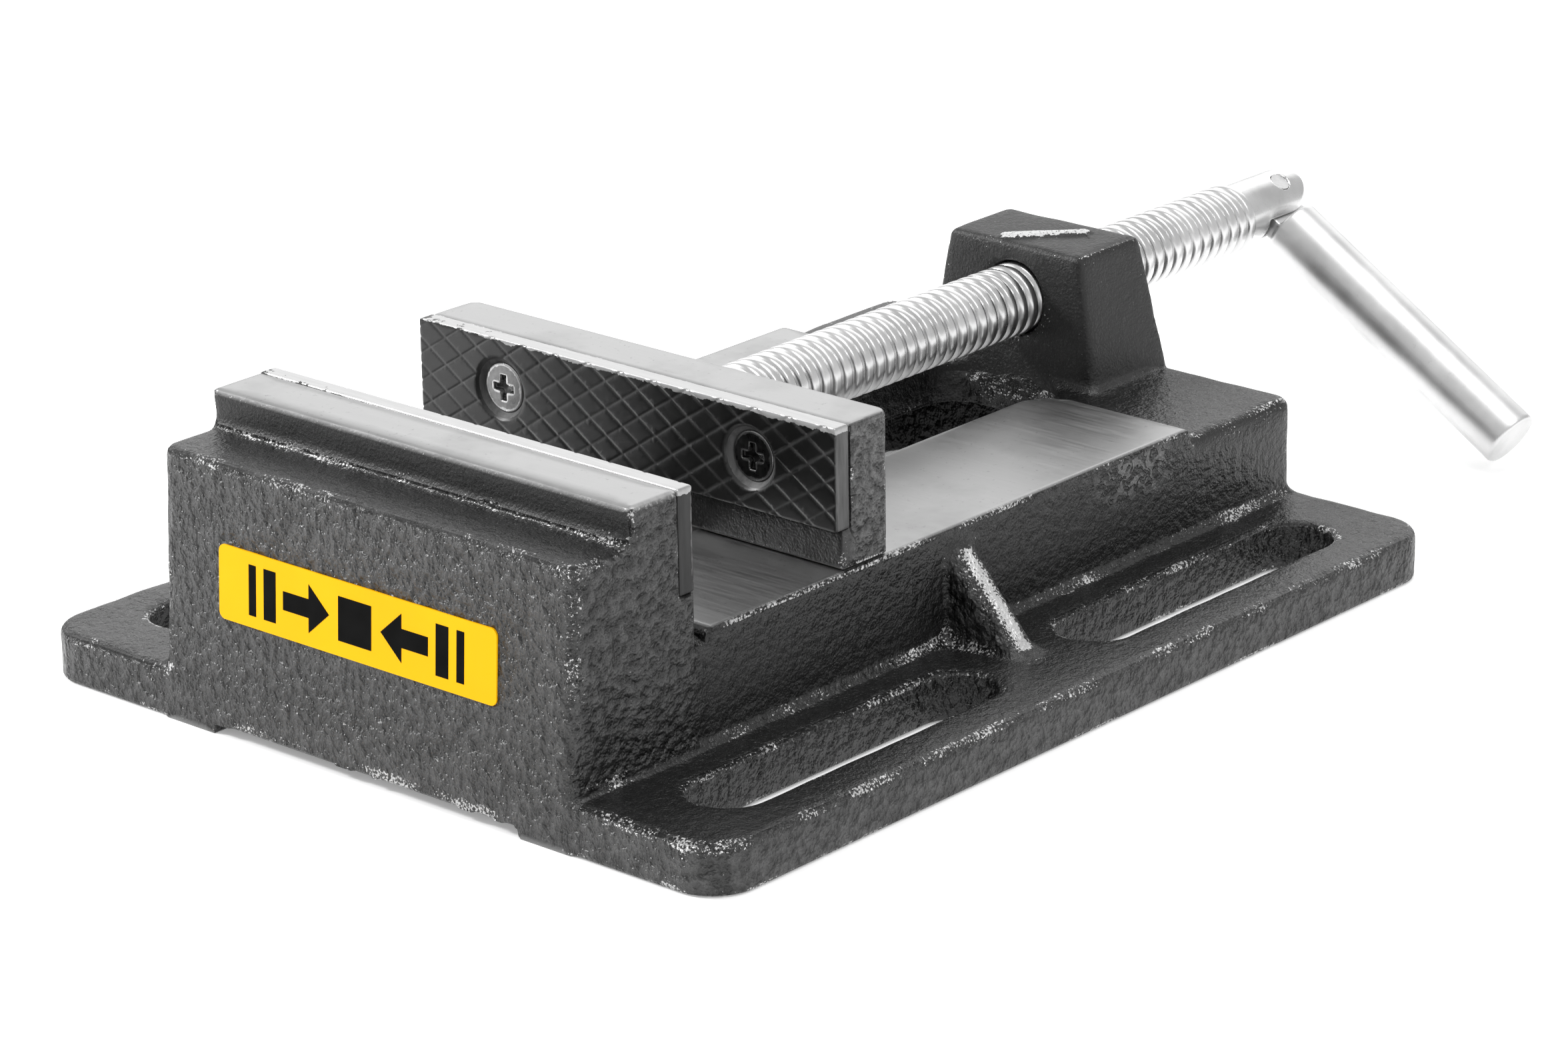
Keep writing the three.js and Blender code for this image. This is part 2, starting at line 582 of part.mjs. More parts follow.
function handleLever() {
  const rodProfile = [
    [LEVER_SHOULDER, LEVER_RADIUS],
    [LEVER_LENGTH - LEVER_END_CHAMFER, LEVER_RADIUS],
    [LEVER_LENGTH, LEVER_RADIUS - LEVER_END_CHAMFER],
  ];
  const rodGeometry = new THREE.LatheGeometry(
    [[LEVER_SHOULDER, 0], ...rodProfile, [LEVER_LENGTH, 0]].map(([y, r]) => new THREE.Vector2(r, y)),
    ROUND_SIDES);
  rodGeometry.rotateZ(Math.PI);
  rodGeometry.translate(HANDLE_PIN_X, 0, 0);
  const tongueShape = new THREE.Shape();
  tongueShape.absarc(HANDLE_PIN_X, 0, TONGUE_RADIUS, 0, Math.PI);
  tongueShape.lineTo(HANDLE_PIN_X - TONGUE_RADIUS, -LEVER_SHOULDER - JOIN);
  tongueShape.lineTo(HANDLE_PIN_X + TONGUE_RADIUS, -LEVER_SHOULDER - JOIN);
  const halfTongue = FORK_SLOT_WIDTH / 2 - FORK_CLEARANCE;
  const tongue = raised(tongueShape, -halfTongue, halfTongue);
  return cut(toSolid(rodGeometry).add(tongue), [handlePinHole()]);
}

// ---- Label ----

// The label lies flat on the leaning front face.
function labelPlate() {
  const y = [LABEL_CENTRE_Y - LABEL_WIDTH / 2, LABEL_CENTRE_Y + LABEL_WIDTH / 2];
  const z = [-LABEL_HEIGHT / 2, LABEL_HEIGHT / 2];
  const upright = along(
    roundedRectangle(y, z, LABEL_CORNER_RADIUS), -SEAT_GAP - LABEL_THICKNESS, -SEAT_GAP);
  const lean = Math.atan2(FRONT_DRAFT, LEDGE_HEIGHT - FLANGE_THICKNESS);
  return upright.rotate([0, THREE.MathUtils.radToDeg(lean), 0])
    .translate([frontFaceX(LABEL_CENTRE_HEIGHT), 0, LABEL_CENTRE_HEIGHT]);
}

// ---- Materials ----

function material(color, roughness, metalness) {
  return () => new THREE.MeshStandardMaterial({ color, roughness, metalness });
}

const paintedIron = material(0x2b2c2d, 0.5, 0.2);
const blackedSteel = material(0x191a1b, 0.4, 0.6);
const zincSteel = material(0xcfd0d2, 0.3, 0.9);
const plainSteel = material(0x8d8f92, 0.45, 0.85);
const yellowSticker = material(0xffcc00, 0.35, 0);

// ---- Assembly ----

const vise = new THREE.Group();
vise.position.x = -SCREW_TIP_X / 2;
const handle = handleFrame();
vise.add(handle);

function place(name, solid, makeMaterial, parent = vise) {
  const mesh = new THREE.Mesh(toGeometry(solid), makeMaterial());
  mesh.name = name;
  parent.add(mesh);
}

place("base_casting", baseCasting(), paintedIron);
place("label_plate", labelPlate(), yellowSticker);

place("fixed_jaw_plate", jawPlate(FIXED_FACE_X, -1), blackedSteel);
place("moving_jaw_plate", jawPlate(MOVING_FACE_X, 1), blackedSteel);
["right", "left"].forEach((side, i) => {
  place(`fixed_plate_screw_${side}`, plateScrew(FIXED_FACE_X, -1, PLATE_SCREW_PLACES[i]), blackedSteel);
  place(`moving_plate_screw_${side}`, plateScrew(MOVING_FACE_X, 1, PLATE_SCREW_PLACES[i]), blackedSteel);
});

place("moving_jaw", movingJaw(), paintedIron);
place("keeper_plate", keeperPlate(), plainSteel);
["front", "rear"].forEach((end, i) => {
  const x = KEEPER_BOLT_X[i];
  place(`keeper_bolt_${end}`, keeperBolt(x), zincSteel);
  place(`keeper_lock_washer_${end}`, lockWasher(x), plainSteel);
  const flatWasher = washer(x, FLAT_WASHER_RADIUS, FLAT_WASHER_TOP, FLAT_WASHER_THICKNESS);
  place(`keeper_flat_washer_${end}`, flatWasher, zincSteel);
});
place("screw_retaining_pin_right", retainingPin(-1), plainSteel);
place("screw_retaining_pin_left", retainingPin(1), plainSteel);

place("lead_screw", leadScrew(), zincSteel, handle);
place("handle_lever", handleLever(), zincSteel, handle);
place("handle_pin", handlePin(), zincSteel, handle);

const group = new THREE.Group();
group.add(vise);

export default group;
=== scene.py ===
"""Drill press vise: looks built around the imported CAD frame.

Shapes are worked out in millimetres on a grid of signed distances, measured from the front edge of
the base, and become meshes in metres in the row frame. Negative distances are inside the solid.
"""
import json
import math

import bmesh
import bpy
import numpy as np
import openvdb
from mathutils import Matrix, Vector


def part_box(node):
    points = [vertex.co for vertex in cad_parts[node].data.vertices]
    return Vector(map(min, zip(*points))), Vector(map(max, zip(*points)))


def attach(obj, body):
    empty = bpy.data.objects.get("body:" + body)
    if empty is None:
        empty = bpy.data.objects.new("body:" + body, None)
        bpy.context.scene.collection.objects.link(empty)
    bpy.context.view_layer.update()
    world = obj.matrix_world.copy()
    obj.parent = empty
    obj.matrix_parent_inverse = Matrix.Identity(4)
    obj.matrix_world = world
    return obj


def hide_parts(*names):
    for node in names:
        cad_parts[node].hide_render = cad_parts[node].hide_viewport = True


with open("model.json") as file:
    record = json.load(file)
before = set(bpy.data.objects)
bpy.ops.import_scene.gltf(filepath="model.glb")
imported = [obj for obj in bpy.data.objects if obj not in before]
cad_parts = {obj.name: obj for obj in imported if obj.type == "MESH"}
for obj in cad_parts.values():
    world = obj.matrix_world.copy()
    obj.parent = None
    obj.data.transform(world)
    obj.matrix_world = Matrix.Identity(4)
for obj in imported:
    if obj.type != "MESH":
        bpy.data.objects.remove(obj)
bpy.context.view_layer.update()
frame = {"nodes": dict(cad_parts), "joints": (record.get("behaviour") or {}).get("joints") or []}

# ---- Places taken from the frame, in millimetres from the front edge of the base ----

MM = 0.001
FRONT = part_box("base_casting")[0].x


def node_span(node):
    """Lowest and highest corner of a CAD node, in millimetres from the front edge of the base."""
    low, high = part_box(node)
    shift = Vector((FRONT, 0, 0))
    return (low - shift) / MM, (high - shift) / MM


BASE_HIGH = node_span("base_casting")[1]
FIXED_PLATE_LOW, FIXED_PLATE_HIGH = node_span("fixed_jaw_plate")
MOVING_PLATE_LOW, MOVING_PLATE_HIGH = node_span("moving_jaw_plate")
MOVING_LOW, MOVING_HIGH = node_span("moving_jaw")
SCREW_LOW, SCREW_HIGH = node_span("lead_screw")
PIN_LOW, PIN_HIGH = node_span("handle_pin")
LABEL_LOW, LABEL_HIGH = node_span("label_plate")
HEAD_LOW, HEAD_HIGH = node_span("fixed_plate_screw_right")

BASE_LENGTH = BASE_HIGH.x
HALF_BASE = BASE_HIGH.y
JAW_TOP = BASE_HIGH.z
HALF_JAW = FIXED_PLATE_HIGH.y
PLATE_BOTTOM = FIXED_PLATE_LOW.z
FIXED_SEAT = FIXED_PLATE_LOW.x
FIXED_FACE = FIXED_PLATE_HIGH.x
SCREW_Z = (PIN_LOW.z + PIN_HIGH.z) / 2
PIN_X = (PIN_LOW.x + PIN_HIGH.x) / 2
HEAD_Z = (HEAD_LOW.z + HEAD_HIGH.z) / 2
HEAD_Y = -(HEAD_LOW.y + HEAD_HIGH.y) / 2
MOVING_FRONT, MOVING_SEAT = MOVING_LOW.x, MOVING_PLATE_HIGH.x
MOVING_BLOCK = 11.05
MOVING_REAR = MOVING_SEAT + MOVING_BLOCK

# Base casting; FOOT_RECESS is the half width and the height of the recess between the feet
FLANGE_TOP = 9.5
FLANGE_CORNER = 9
FLANGE_EDGE, FOOT_EDGE = 1.7, 0.7
FOOT_RECESS = (36.5, 1.8)
SLOT_RADIUS = 7.25
SLOT_Y = 65.3
SLOT_ENDS = ((14, 88), (112, 186))
SLOT_EDGE = 1.1
BODY_FRONT, BODY_REAR = 15.7, 199
DECK = 28.5
WAY_TOP = 30.5
WAY_FRONT, WAY_REAR = 34.1, 166.5
WAY_CORNER = 8
WAY_UNDERSIDE = 20.5
HOLLOW_TOP_IN_JAW = 38
WALL = 8
FRONT_WALL, PLATE_WALL = 7, 3.5
HOLLOW_CORNER, HOLLOW_EDGE = 3, 2
UPRIGHT_CORNER = 3
WAY_EDGE, DECK_EDGE = 0.35, 2.2
CHANNEL_REAR = 175.5
HALF_CHANNEL = 15
CHANNEL_CORNER = 7
BLOCK_FRONT = 2.5
BLOCK_DRAFT = 0.056
LEDGE = 50
RIB_FRONT = 15.7
BLOCK_INSET = 0.4
RIB_FILLET = 2.4
LEDGE_EDGE, RIB_EDGE = 1.4, 0.45
BODY_FILLET, WEB_FILLET, BOSS_FILLET = 2.2, 1.8, 2.4
WEB_X = (96.5, 103.5)
WEB_REACH = 16
WEB_TOP = 27.5
WEB_EDGE = 2.4
BOSS_TOP = 54.5
BOSS_FOOT = 27.5
BOSS_HALF_TOP, BOSS_HALF_FOOT = 16, 20.4
BOSS_FRONT_LEAN, BOSS_REAR_LEAN = 1, 4
BOSS_CORNER, BOSS_EDGE = 1.3, 1.2
BOSS_BAR = ((178.9, 3.4), (189.9, -6.4))
BOSS_BAR_RADIUS, BOSS_BAR_HEIGHT = 1.5, 0.7
BORE_RADIUS = 7.3
TAP_RADIUS = 2.7
PATCH = (150, 26.5)
PATCH_SIZE = (13, 4.5)

# Moving jaw
FOOT = WAY_TOP + 0.2
JAW_CORNER = 2.4
GUIDE_X = (MOVING_FRONT + 3.5, MOVING_FRONT + 29.5)
GUIDE_CORNER = 7
BOLT_INSET = 7
BOLT_HOLE_RADIUS = 3.2
RETAINER_X, RETAINER_Y = MOVING_REAR - 5.5, 5.0
RETAINER_HOLE_RADIUS = 1.7

# Lead screw and lever
THREAD_RADIUS = 7
THREAD_ROOT = 6.1
THREAD_PITCH = 3
THREAD_START = MOVING_REAR + 0.2
NECK_LENGTH = 11.4
THREAD_END = PIN_X - NECK_LENGTH
NECK_RADIUS = SCREW_HIGH.x - PIN_X
NOSE_RADIUS = 5
NOSE_BORE_CLEARANCE = 0.3
NOSE_GROOVE_RADIUS, NOSE_GROOVE_HALF = 3.3, 1.7
FORK_SLOT = 5
FORK_DEPTH = 6.8
PIN_HOLE_RADIUS = 2.05
LEVER_RADIUS = 6
LEVER_SHOULDER = 7.1
LEVER_LENGTH = 71
TONGUE_RADIUS, TONGUE_HALF = 5.4, 2.2
FOLD_AXIS = next(j["axis"] for j in frame["joints"] if j["name"] == "handle_fold")
LEVER_DROOP = math.atan2(-FOLD_AXIS[1], FOLD_AXIS[2])

STEP_BASE = 0.6
STEP_JAW = 0.45
STEP_PLATE = 0.22
STEP_SMALL = 0.15


# ---- Signed distances ----

class Grid:
    """Evenly spaced points between two corners, with x, y and z as arrays that broadcast."""

    def __init__(self, low, high, step):
        margin = 4 * step
        axes = [np.arange(a - margin, b + margin, step, dtype=np.float32) for a, b in zip(low, high)]
        self.start = np.array([axis[0] for axis in axes])
        self.step = step
        self.x, self.y, self.z = np.meshgrid(*axes, indexing="ij", sparse=True)


def slab(a, low, high):
    return np.abs(a - (low + high) / 2) - (high - low) / 2


def both(a, b, r=0.0):
    """What two shapes share, with the edge between them rounded."""
    if np.isscalar(r) and r == 0:
        return np.maximum(a, b)
    return np.minimum(np.maximum(a, b), -r) + np.hypot(np.maximum(a + r, 0), np.maximum(b + r, 0))


def either(a, b, r=0.0):
    """Two shapes joined, with a fillet in the corner between them."""
    if np.isscalar(r) and r == 0:
        return np.minimum(a, b)
    return np.maximum(np.minimum(a, b), r) - np.hypot(np.maximum(r - a, 0), np.maximum(r - b, 0))


def without(a, b, r=0.0):
    return both(a, -b, r)


def block(g, x, y, z, corner=0.0, edge=0.0):
    """A box with rounded upright corners and rounded top and bottom edges."""
    return both(both(slab(g.x, *x), slab(g.y, *y), corner), slab(g.z, *z), edge)


def ramp(a, low, high):
    t = np.clip((a - low) / (high - low), 0, 1)
    return t * t * (3 - 2 * t)


def blend(a, b, t):
    return a + (b - a) * t


def capsule(u, v, start, end, radius):
    """Distance to a bar with round ends, in the plane of u and v."""
    du, dv = end[0] - start[0], end[1] - start[1]
    t = np.clip(((u - start[0]) * du + (v - start[1]) * dv) / (du * du + dv * dv), 0, 1)
    return np.hypot(u - start[0] - t * du, v - start[1] - t * dv) - radius


def waviness(g, height, length):
    """The slow unevenness of a sand-cast surface."""
    k = 2 * math.pi / length
    a = np.sin(k * g.x + 1.7 * np.sin(0.61 * k * g.y) + 0.4)
    b = np.sin(1.13 * k * g.y + 1.3 * np.sin(0.83 * k * g.z) + 1.9)
    c = np.sin(0.91 * k * g.z + 1.9 * np.sin(0.47 * k * g.x) + 3.1)
    return height * (a * b + b * c + c * a) / 1.6


# ---- Meshes from signed distances ----

def edge_bend(g, field, points, reach=2):
    """How sharply the surface bends at each point: positive on outer edges, negative in corners."""
    limit = np.array(field.shape) - 1 - reach
    near = np.clip(np.rint((points - g.start) / g.step).astype(int), reach, limit)
    total = np.zeros(len(points), np.float32)
    for axis in np.eye(3, dtype=int) * reach:
        for neighbour in (near + axis, near - axis):
            total += field[tuple(neighbour.T)]
    return (total - 6 * field[tuple(near.T)]) / (reach * g.step)


def fill_mesh(mesh, points, triangles, quads):
    """Fills a mesh from arrays of vertices, triangles and quads."""
    loops = np.concatenate([triangles.reshape(-1), quads.reshape(-1)]).astype(np.int32)
    counts = np.concatenate([np.full(len(triangles), 3), np.full(len(quads), 4)]).astype(np.int32)
    starts = np.concatenate([[0], np.cumsum(counts)[:-1]]).astype(np.int32)
    mesh.vertices.add(len(points))
    mesh.vertices.foreach_set("co", points.astype(np.float32).reshape(-1))
    mesh.loops.add(len(loops))
    mesh.loops.foreach_set("vertex_index", loops)
    mesh.polygons.add(len(counts))
    mesh.polygons.foreach_set("loop_start", starts)
    mesh.update(calc_edges=True)
    mesh.polygons.foreach_set("use_smooth", np.ones(len(counts), bool))
    mesh.validate()


def to_row_frame(points):
    return points * MM + np.array([FRONT, 0, 0])


def solid(name, g, field, sharp=38, place=to_row_frame, smooth=0.02):
    """A closed mesh object where the field is zero, with the bend of its edges as an attribute."""
    volume = openvdb.FloatGrid(3 * g.step)
    volume.copyFromArray(np.ascontiguousarray(np.clip(field, -3 * g.step, 3 * g.step), dtype=np.float32))
    points, triangles, quads = volume.convertToPolygons(isovalue=0.0, adaptivity=smooth)
    points = points * g.step + g.start
    mesh = bpy.data.meshes.new(name)
    fill_mesh(mesh, place(points), triangles, quads)
    mesh.set_sharp_from_angle(angle=math.radians(sharp))
    bend = mesh.attributes.new("bend", "FLOAT", "POINT")
    bend.data.foreach_set("value", edge_bend(g, field, points).astype(np.float32))
    piece = bpy.data.objects.new(name, mesh)
    bpy.context.scene.collection.objects.link(piece)
    return piece, points


def mark(piece, name, values):
    attribute = piece.data.attributes.new(name, "FLOAT", "POINT")
    attribute.data.foreach_set("value", np.asarray(values, np.float32))


# ---- Base casting ----

def flange(g):
    plan = both(slab(g.x, 0, BASE_LENGTH), slab(g.y, -HALF_BASE, HALF_BASE), FLANGE_CORNER)
    return both(both(plan, g.z - FLANGE_TOP, FLANGE_EDGE), -g.z, FOOT_EDGE)


def way_body(g):
    """The raised body; its deck steps up to the two ground ways."""
    rear_end = both(g.x - WAY_REAR, HALF_CHANNEL - np.abs(g.y), WAY_CORNER)
    on_way = ramp(g.x, WAY_FRONT - 0.6, WAY_FRONT + 0.6) * (1 - ramp(rear_end, -0.6, 1.2))
    deck = blend(DECK, WAY_TOP, on_way)
    plan = both(slab(g.x, BODY_FRONT, BODY_REAR), slab(g.y, -HALF_JAW, HALF_JAW), UPRIGHT_CORNER)
    return both(plan, g.z - deck, blend(DECK_EDGE, WAY_EDGE, on_way))


def front_face(z):
    """Where the drafted front face is at height z."""
    return BLOCK_FRONT - BLOCK_DRAFT * (LEDGE - np.clip(z, FLANGE_TOP, LEDGE))


def fixed_jaw(g):
    """The thick front block, with a rib standing on it behind the ledge."""
    rib = both(g.z - JAW_TOP, RIB_FRONT - g.x, 0.5)
    profile = either(g.z - LEDGE, rib, RIB_FILLET)
    half = blend(HALF_JAW - BLOCK_INSET, HALF_JAW, ramp(g.x, RIB_FRONT - 0.9, RIB_FRONT + 0.3))
    plan = both(front_face(g.z) - g.x, np.abs(g.y) - half, UPRIGHT_CORNER)
    soft = blend(LEDGE_EDGE, RIB_EDGE, ramp(g.z, LEDGE + 2.5, LEDGE + 5))
    front = both(both(profile, plan, soft), g.x - FIXED_SEAT, 0.3)
    ledge = block(g, (RIB_FRONT, FIXED_FACE), (-HALF_JAW, HALF_JAW), (-5, PLATE_BOTTOM - 0.1), 0.4, 0.4)
    return np.minimum(front, ledge)


def web(g):
    """The ridge that slopes from each long wall down to the flange."""
    rise = WEB_TOP - FLANGE_TOP
    slope = ((np.abs(g.y) - HALF_JAW) * rise + (g.z - WEB_TOP) * WEB_REACH) / math.hypot(rise, WEB_REACH)
    ridge = both(slab(g.x, *WEB_X), slope, WEB_EDGE)
    return both(both(ridge, HALF_JAW - 2 - np.abs(g.y)), g.z - WEB_TOP - 1)


def nut_boss(g):
    """The tapered block that the screw runs in, with the raised bar on its top."""
    up = (g.z - BOSS_FOOT) / (BOSS_TOP - BOSS_FOOT)
    half = blend(BOSS_HALF_FOOT, BOSS_HALF_TOP, up)
    front = CHANNEL_REAR + BOSS_FRONT_LEAN * up
    rear = BODY_REAR - BOSS_REAR_LEAN * up
    sides = both(np.maximum(front - g.x, g.x - rear), np.abs(g.y) - half, BOSS_CORNER)
    boss = both(both(sides, g.z - BOSS_TOP, BOSS_EDGE), DECK - 6 - g.z)
    bar = capsule(g.x, g.y, *BOSS_BAR, BOSS_BAR_RADIUS)
    raised = both(bar, slab(g.z, BOSS_TOP - 2, BOSS_TOP + BOSS_BAR_HEIGHT), 0.6)
    return either(boss, raised, 0.4)


def underside(g):
    """What is hollow below: under the ways, inside the fixed jaw, and the shallow recess of the feet."""
    side = (-HALF_JAW + WALL, HALF_JAW - WALL)
    below = -9
    rounding = (HOLLOW_CORNER, HOLLOW_EDGE)
    hollow = block(g, (WAY_FRONT, BODY_REAR - WALL), side, (below, WAY_UNDERSIDE), *rounding)
    jaw_x = (BLOCK_FRONT + FRONT_WALL, FIXED_SEAT - PLATE_WALL)
    jaw_hollow = block(g, jaw_x, side, (below, HOLLOW_TOP_IN_JAW), *rounding)
    recess = both(np.abs(g.y) - FOOT_RECESS[0], g.z - FOOT_RECESS[1], 0.5)
    return np.minimum(np.minimum(hollow, jaw_hollow), recess)


def sand_cast(g):
    """1 where the base keeps its uneven cast skin, 0 at the ways, the jaw top and the feet."""
    way = ramp(g.x, WAY_FRONT - 1.1, WAY_FRONT - 0.1) * (1 - ramp(g.x, WAY_REAR + 1.5, WAY_REAR + 3.5))
    cast = 1 - ramp(g.z, WAY_TOP - 1.6, WAY_TOP - 0.6) * way
    return cast * (1 - ramp(g.z, JAW_TOP - 2, JAW_TOP - 1)) * ramp(g.z, 0.5, 2)


def screw_taps(g, depth):
    """The holes that the plate screws turn into, between two depths along X."""
    away = np.hypot(np.abs(g.y) - HEAD_Y, g.z - HEAD_Z) - TAP_RADIUS
    return both(away, slab(g.x, *depth))


def base_field(g):
    raised = np.minimum(way_body(g), fixed_jaw(g))
    foot = blend(BOSS_FILLET, 0.05, ramp(g.x, BODY_REAR - 8, BODY_REAR - 1))
    raised = either(raised, nut_boss(g), foot)
    raised = either(raised, web(g), WEB_FILLET)
    body = either(raised, flange(g), BODY_FILLET)
    body = body + waviness(g, height=0.11, length=17) * sand_cast(g)
    body = without(body, underside(g), 0.8)
    channel = both(slab(g.x, WAY_FRONT, CHANNEL_REAR), np.abs(g.y) - HALF_CHANNEL, CHANNEL_CORNER)
    body = without(body, channel, 0.5)
    for low, high in SLOT_ENDS:
        ends = ((low + SLOT_RADIUS, SLOT_Y), (high - SLOT_RADIUS, SLOT_Y))
        body = without(body, capsule(g.x, np.abs(g.y), *ends, SLOT_RADIUS), SLOT_EDGE)
    bore = both(np.hypot(g.y, g.z - SCREW_Z) - BORE_RADIUS, CHANNEL_REAR - 8 - g.x)
    body = without(body, bore, 0.8)
    body = without(body, screw_taps(g, (FIXED_SEAT - 9, FIXED_SEAT + 2)))
    body = np.maximum(body, np.maximum(-g.x, g.x - BASE_LENGTH))
    return np.maximum(body, np.maximum(-g.z, np.abs(g.y) - HALF_BASE))


# How worn, smooth, dull or given painted light the skin is: 0 is not at all, and over 1 little paint is
# left
RIDGE_WEAR, BAR_WEAR = 1.5, 1.3
CALMEST, CALM_TOPS, CALM_WALLS = 0.93, 0.82, 0.72
PAINTED_LIGHT_ENDS, DULL_RIM, PAINTED_LIGHT_FRONT = 0.4, 0.3, 0.16


def base_ground(points):
    """1 where the base casting is ground to bare metal."""
    x, _, z = points.T
    way = (z > WAY_TOP - 0.12) * (x > WAY_FRONT - 0.2) * (x < WAY_REAR + 0.4)
    top = (z > JAW_TOP - 0.4) * (x < FIXED_FACE)
    foot = z < 0.25
    return (way | top | foot).astype(np.float32)


def base_worn(points):
    """Extra wear: most on the ridge of each web, some on the boss's bar."""
    x, y, z = points.T
    from_ridge = np.abs(x - (WEB_X[0] + WEB_X[1]) / 2)
    on_web = (np.abs(y) > HALF_JAW + 1) * (z > FLANGE_TOP + 0.8)
    ridge = RIDGE_WEAR * np.clip(1.2 - from_ridge / 2.4, 0, 1) * on_web
    on_bar = (capsule(x, y, *BOSS_BAR, BOSS_BAR_RADIUS) < 0) * (z > BOSS_TOP + 0.3)
    return np.maximum(ridge, BAR_WEAR * on_bar)


def calm_skin(piece, points):
    """How smooth the cast skin is: the boss and the rib most, then the tops and the long walls."""
    normals = np.zeros(len(points) * 3, np.float32)
    piece.data.vertex_normals.foreach_get("vector", normals)
    normals = normals.reshape(-1, 3)
    x, _, z = points.T
    tops = np.clip(normals[:, 2] * 1.6 - 0.5, 0, 1) * CALM_TOPS
    walls = np.abs(normals[:, 1]) * (x > FIXED_FACE) * (z > FLANGE_TOP) * CALM_WALLS
    on_boss = (z > WAY_TOP - 4) * (x > CHANNEL_REAR - 8)
    boss = on_boss * np.where(normals[:, 2] > 0.6, CALM_TOPS, CALMEST)
    rib = (z > LEDGE + 0.8) * (np.abs(normals[:, 1]) < 0.5) * CALMEST
    return np.maximum(np.maximum(tops, walls), np.maximum(boss, rib))


def rough_patch(points):
    """A patch of coarse skin near the rear end of both long walls."""
    x, y, z = points.T
    away = np.hypot((x - PATCH[0]) / PATCH_SIZE[0], (z - PATCH[1]) / PATCH_SIZE[1])
    return np.clip(2.2 - 2.0 * away, 0, 1) * (np.abs(y) > HALF_JAW - 0.8) * (z < WAY_TOP - 0.6)


def base_dull_and_lit(points):
    """How much lighter the paint is made: the fixed jaw's sides most, rising with height, as painted
    light; then the flange's rim below its top edge, as duller paint; then the front face, as painted
    light.
    """
    x, y, z = points.T
    # the fixed jaw's sides, darker low down by the flange and lighter higher up: painted light and shade
    ends = (x < FIXED_FACE) * (np.abs(y) > HALF_JAW - 1.2) * ramp(z, FLANGE_TOP, WAY_TOP)
    rim = (z < FLANGE_TOP - 2.5) * ((x < 1.5) | (np.abs(y) > HALF_BASE - 1.2))
    # the whole front face made lighter: painted light
    front = x < front_face(z) + 1.5
    return np.maximum(np.maximum(PAINTED_LIGHT_ENDS * ends, DULL_RIM * rim), PAINTED_LIGHT_FRONT * front)


def build_base():
    g = Grid((0, -HALF_BASE, 0), (BASE_LENGTH, HALF_BASE, JAW_TOP), STEP_BASE)
    piece, points = solid("vise_base", g, base_field(g))
    mark(piece, "ground", base_ground(points))
    mark(piece, "worn", base_worn(points))
    mark(piece, "calm", calm_skin(piece, points))
    mark(piece, "rough_patch", rough_patch(points))
    mark(piece, "dull_and_lit", base_dull_and_lit(points))
    piece.data.materials.append(cast_iron("cast_iron_base"))
    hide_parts("base_casting")
    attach(piece, "base")


# ---- Moving jaw ----

def jaw_block(g):
    """The upright part behind the plate, and the lip under it."""
    back = both(g.x - MOVING_REAR, np.abs(g.y) - HALF_JAW, JAW_CORNER)
    back = both(back, g.z - JAW_TOP, blend(0.6, 1.1, ramp(g.x, MOVING_SEAT + 4, MOVING_REAR)))
    front_edge = blend(0.4, 1.4, ramp(np.abs(g.y), HALF_JAW - 3, HALF_JAW - 1.5))
    front_edge = blend(front_edge, 0.4, ramp(g.z, JAW_TOP - 2.5, JAW_TOP - 1))
    body = both(np.maximum(back, FOOT - g.z), MOVING_SEAT - g.x, front_edge)
    lip_x = (MOVING_FRONT, MOVING_REAR - 2)
    lip = block(g, lip_x, (-HALF_JAW, HALF_JAW), (FOOT, PLATE_BOTTOM - 0.1), 0.6, 0.5)
    cast = ramp(g.z, FOOT + 0.4, FOOT + 2) * (1 - ramp(g.z, JAW_TOP - 2, JAW_TOP - 1))
    return np.minimum(body, lip) + waviness(g, height=0.12, length=15) * cast


def moving_field(g):
    """The jaw with its guide block, less the holes for the nose, its pins, the bolts and the screws."""
    guide_y = (-HALF_CHANNEL + 0.2, HALF_CHANNEL - 0.2)
    guide = block(g, GUIDE_X, guide_y, (MOVING_LOW.z, FOOT + 0.3), GUIDE_CORNER, 0.5)
    body = np.minimum(jaw_block(g), guide)
    nose = both(np.hypot(g.y, g.z - SCREW_Z) - NOSE_RADIUS - NOSE_BORE_CLEARANCE, MOVING_REAR - 9 - g.x)
    body = without(body, nose, 0.5)
    body = without(body, screw_taps(g, (MOVING_SEAT - 2, MOVING_SEAT + 8.5)))
    front_bolt = np.hypot(g.x - GUIDE_X[0] - BOLT_INSET, g.y)
    rear_bolt = np.hypot(g.x - GUIDE_X[1] + BOLT_INSET, g.y)
    bolts = np.minimum(front_bolt, rear_bolt) - BOLT_HOLE_RADIUS
    body = without(body, both(bolts, g.z - FOOT + 2))
    pins = np.hypot(g.x - RETAINER_X, np.abs(g.y) - RETAINER_Y) - RETAINER_HOLE_RADIUS
    return without(body, both(pins, g.z - SCREW_Z - 6.5))


def build_moving_jaw():
    g = Grid(MOVING_LOW, MOVING_HIGH, STEP_JAW)
    piece, points = solid("vise_moving_jaw", g, moving_field(g))
    x, y, z = points.T
    ground = (z > JAW_TOP - 0.4) | (z < WAY_TOP + 0.45)
    mark(piece, "ground", ground.astype(np.float32))
    # the sides above the way get lighter, duller paint
    mark(piece, "dull_and_lit", (np.abs(y) > HALF_JAW - 0.5) * ramp(z, WAY_TOP, WAY_TOP + 2))
    mark(piece, "calm", 0.9 * (x < MOVING_SEAT + 0.5))
    piece.data.materials.append(cast_iron("cast_iron_moving_jaw"))
    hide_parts("moving_jaw")
    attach(piece, "slide")


# ---- Jaw plates with crossed grooves, and their screws ----

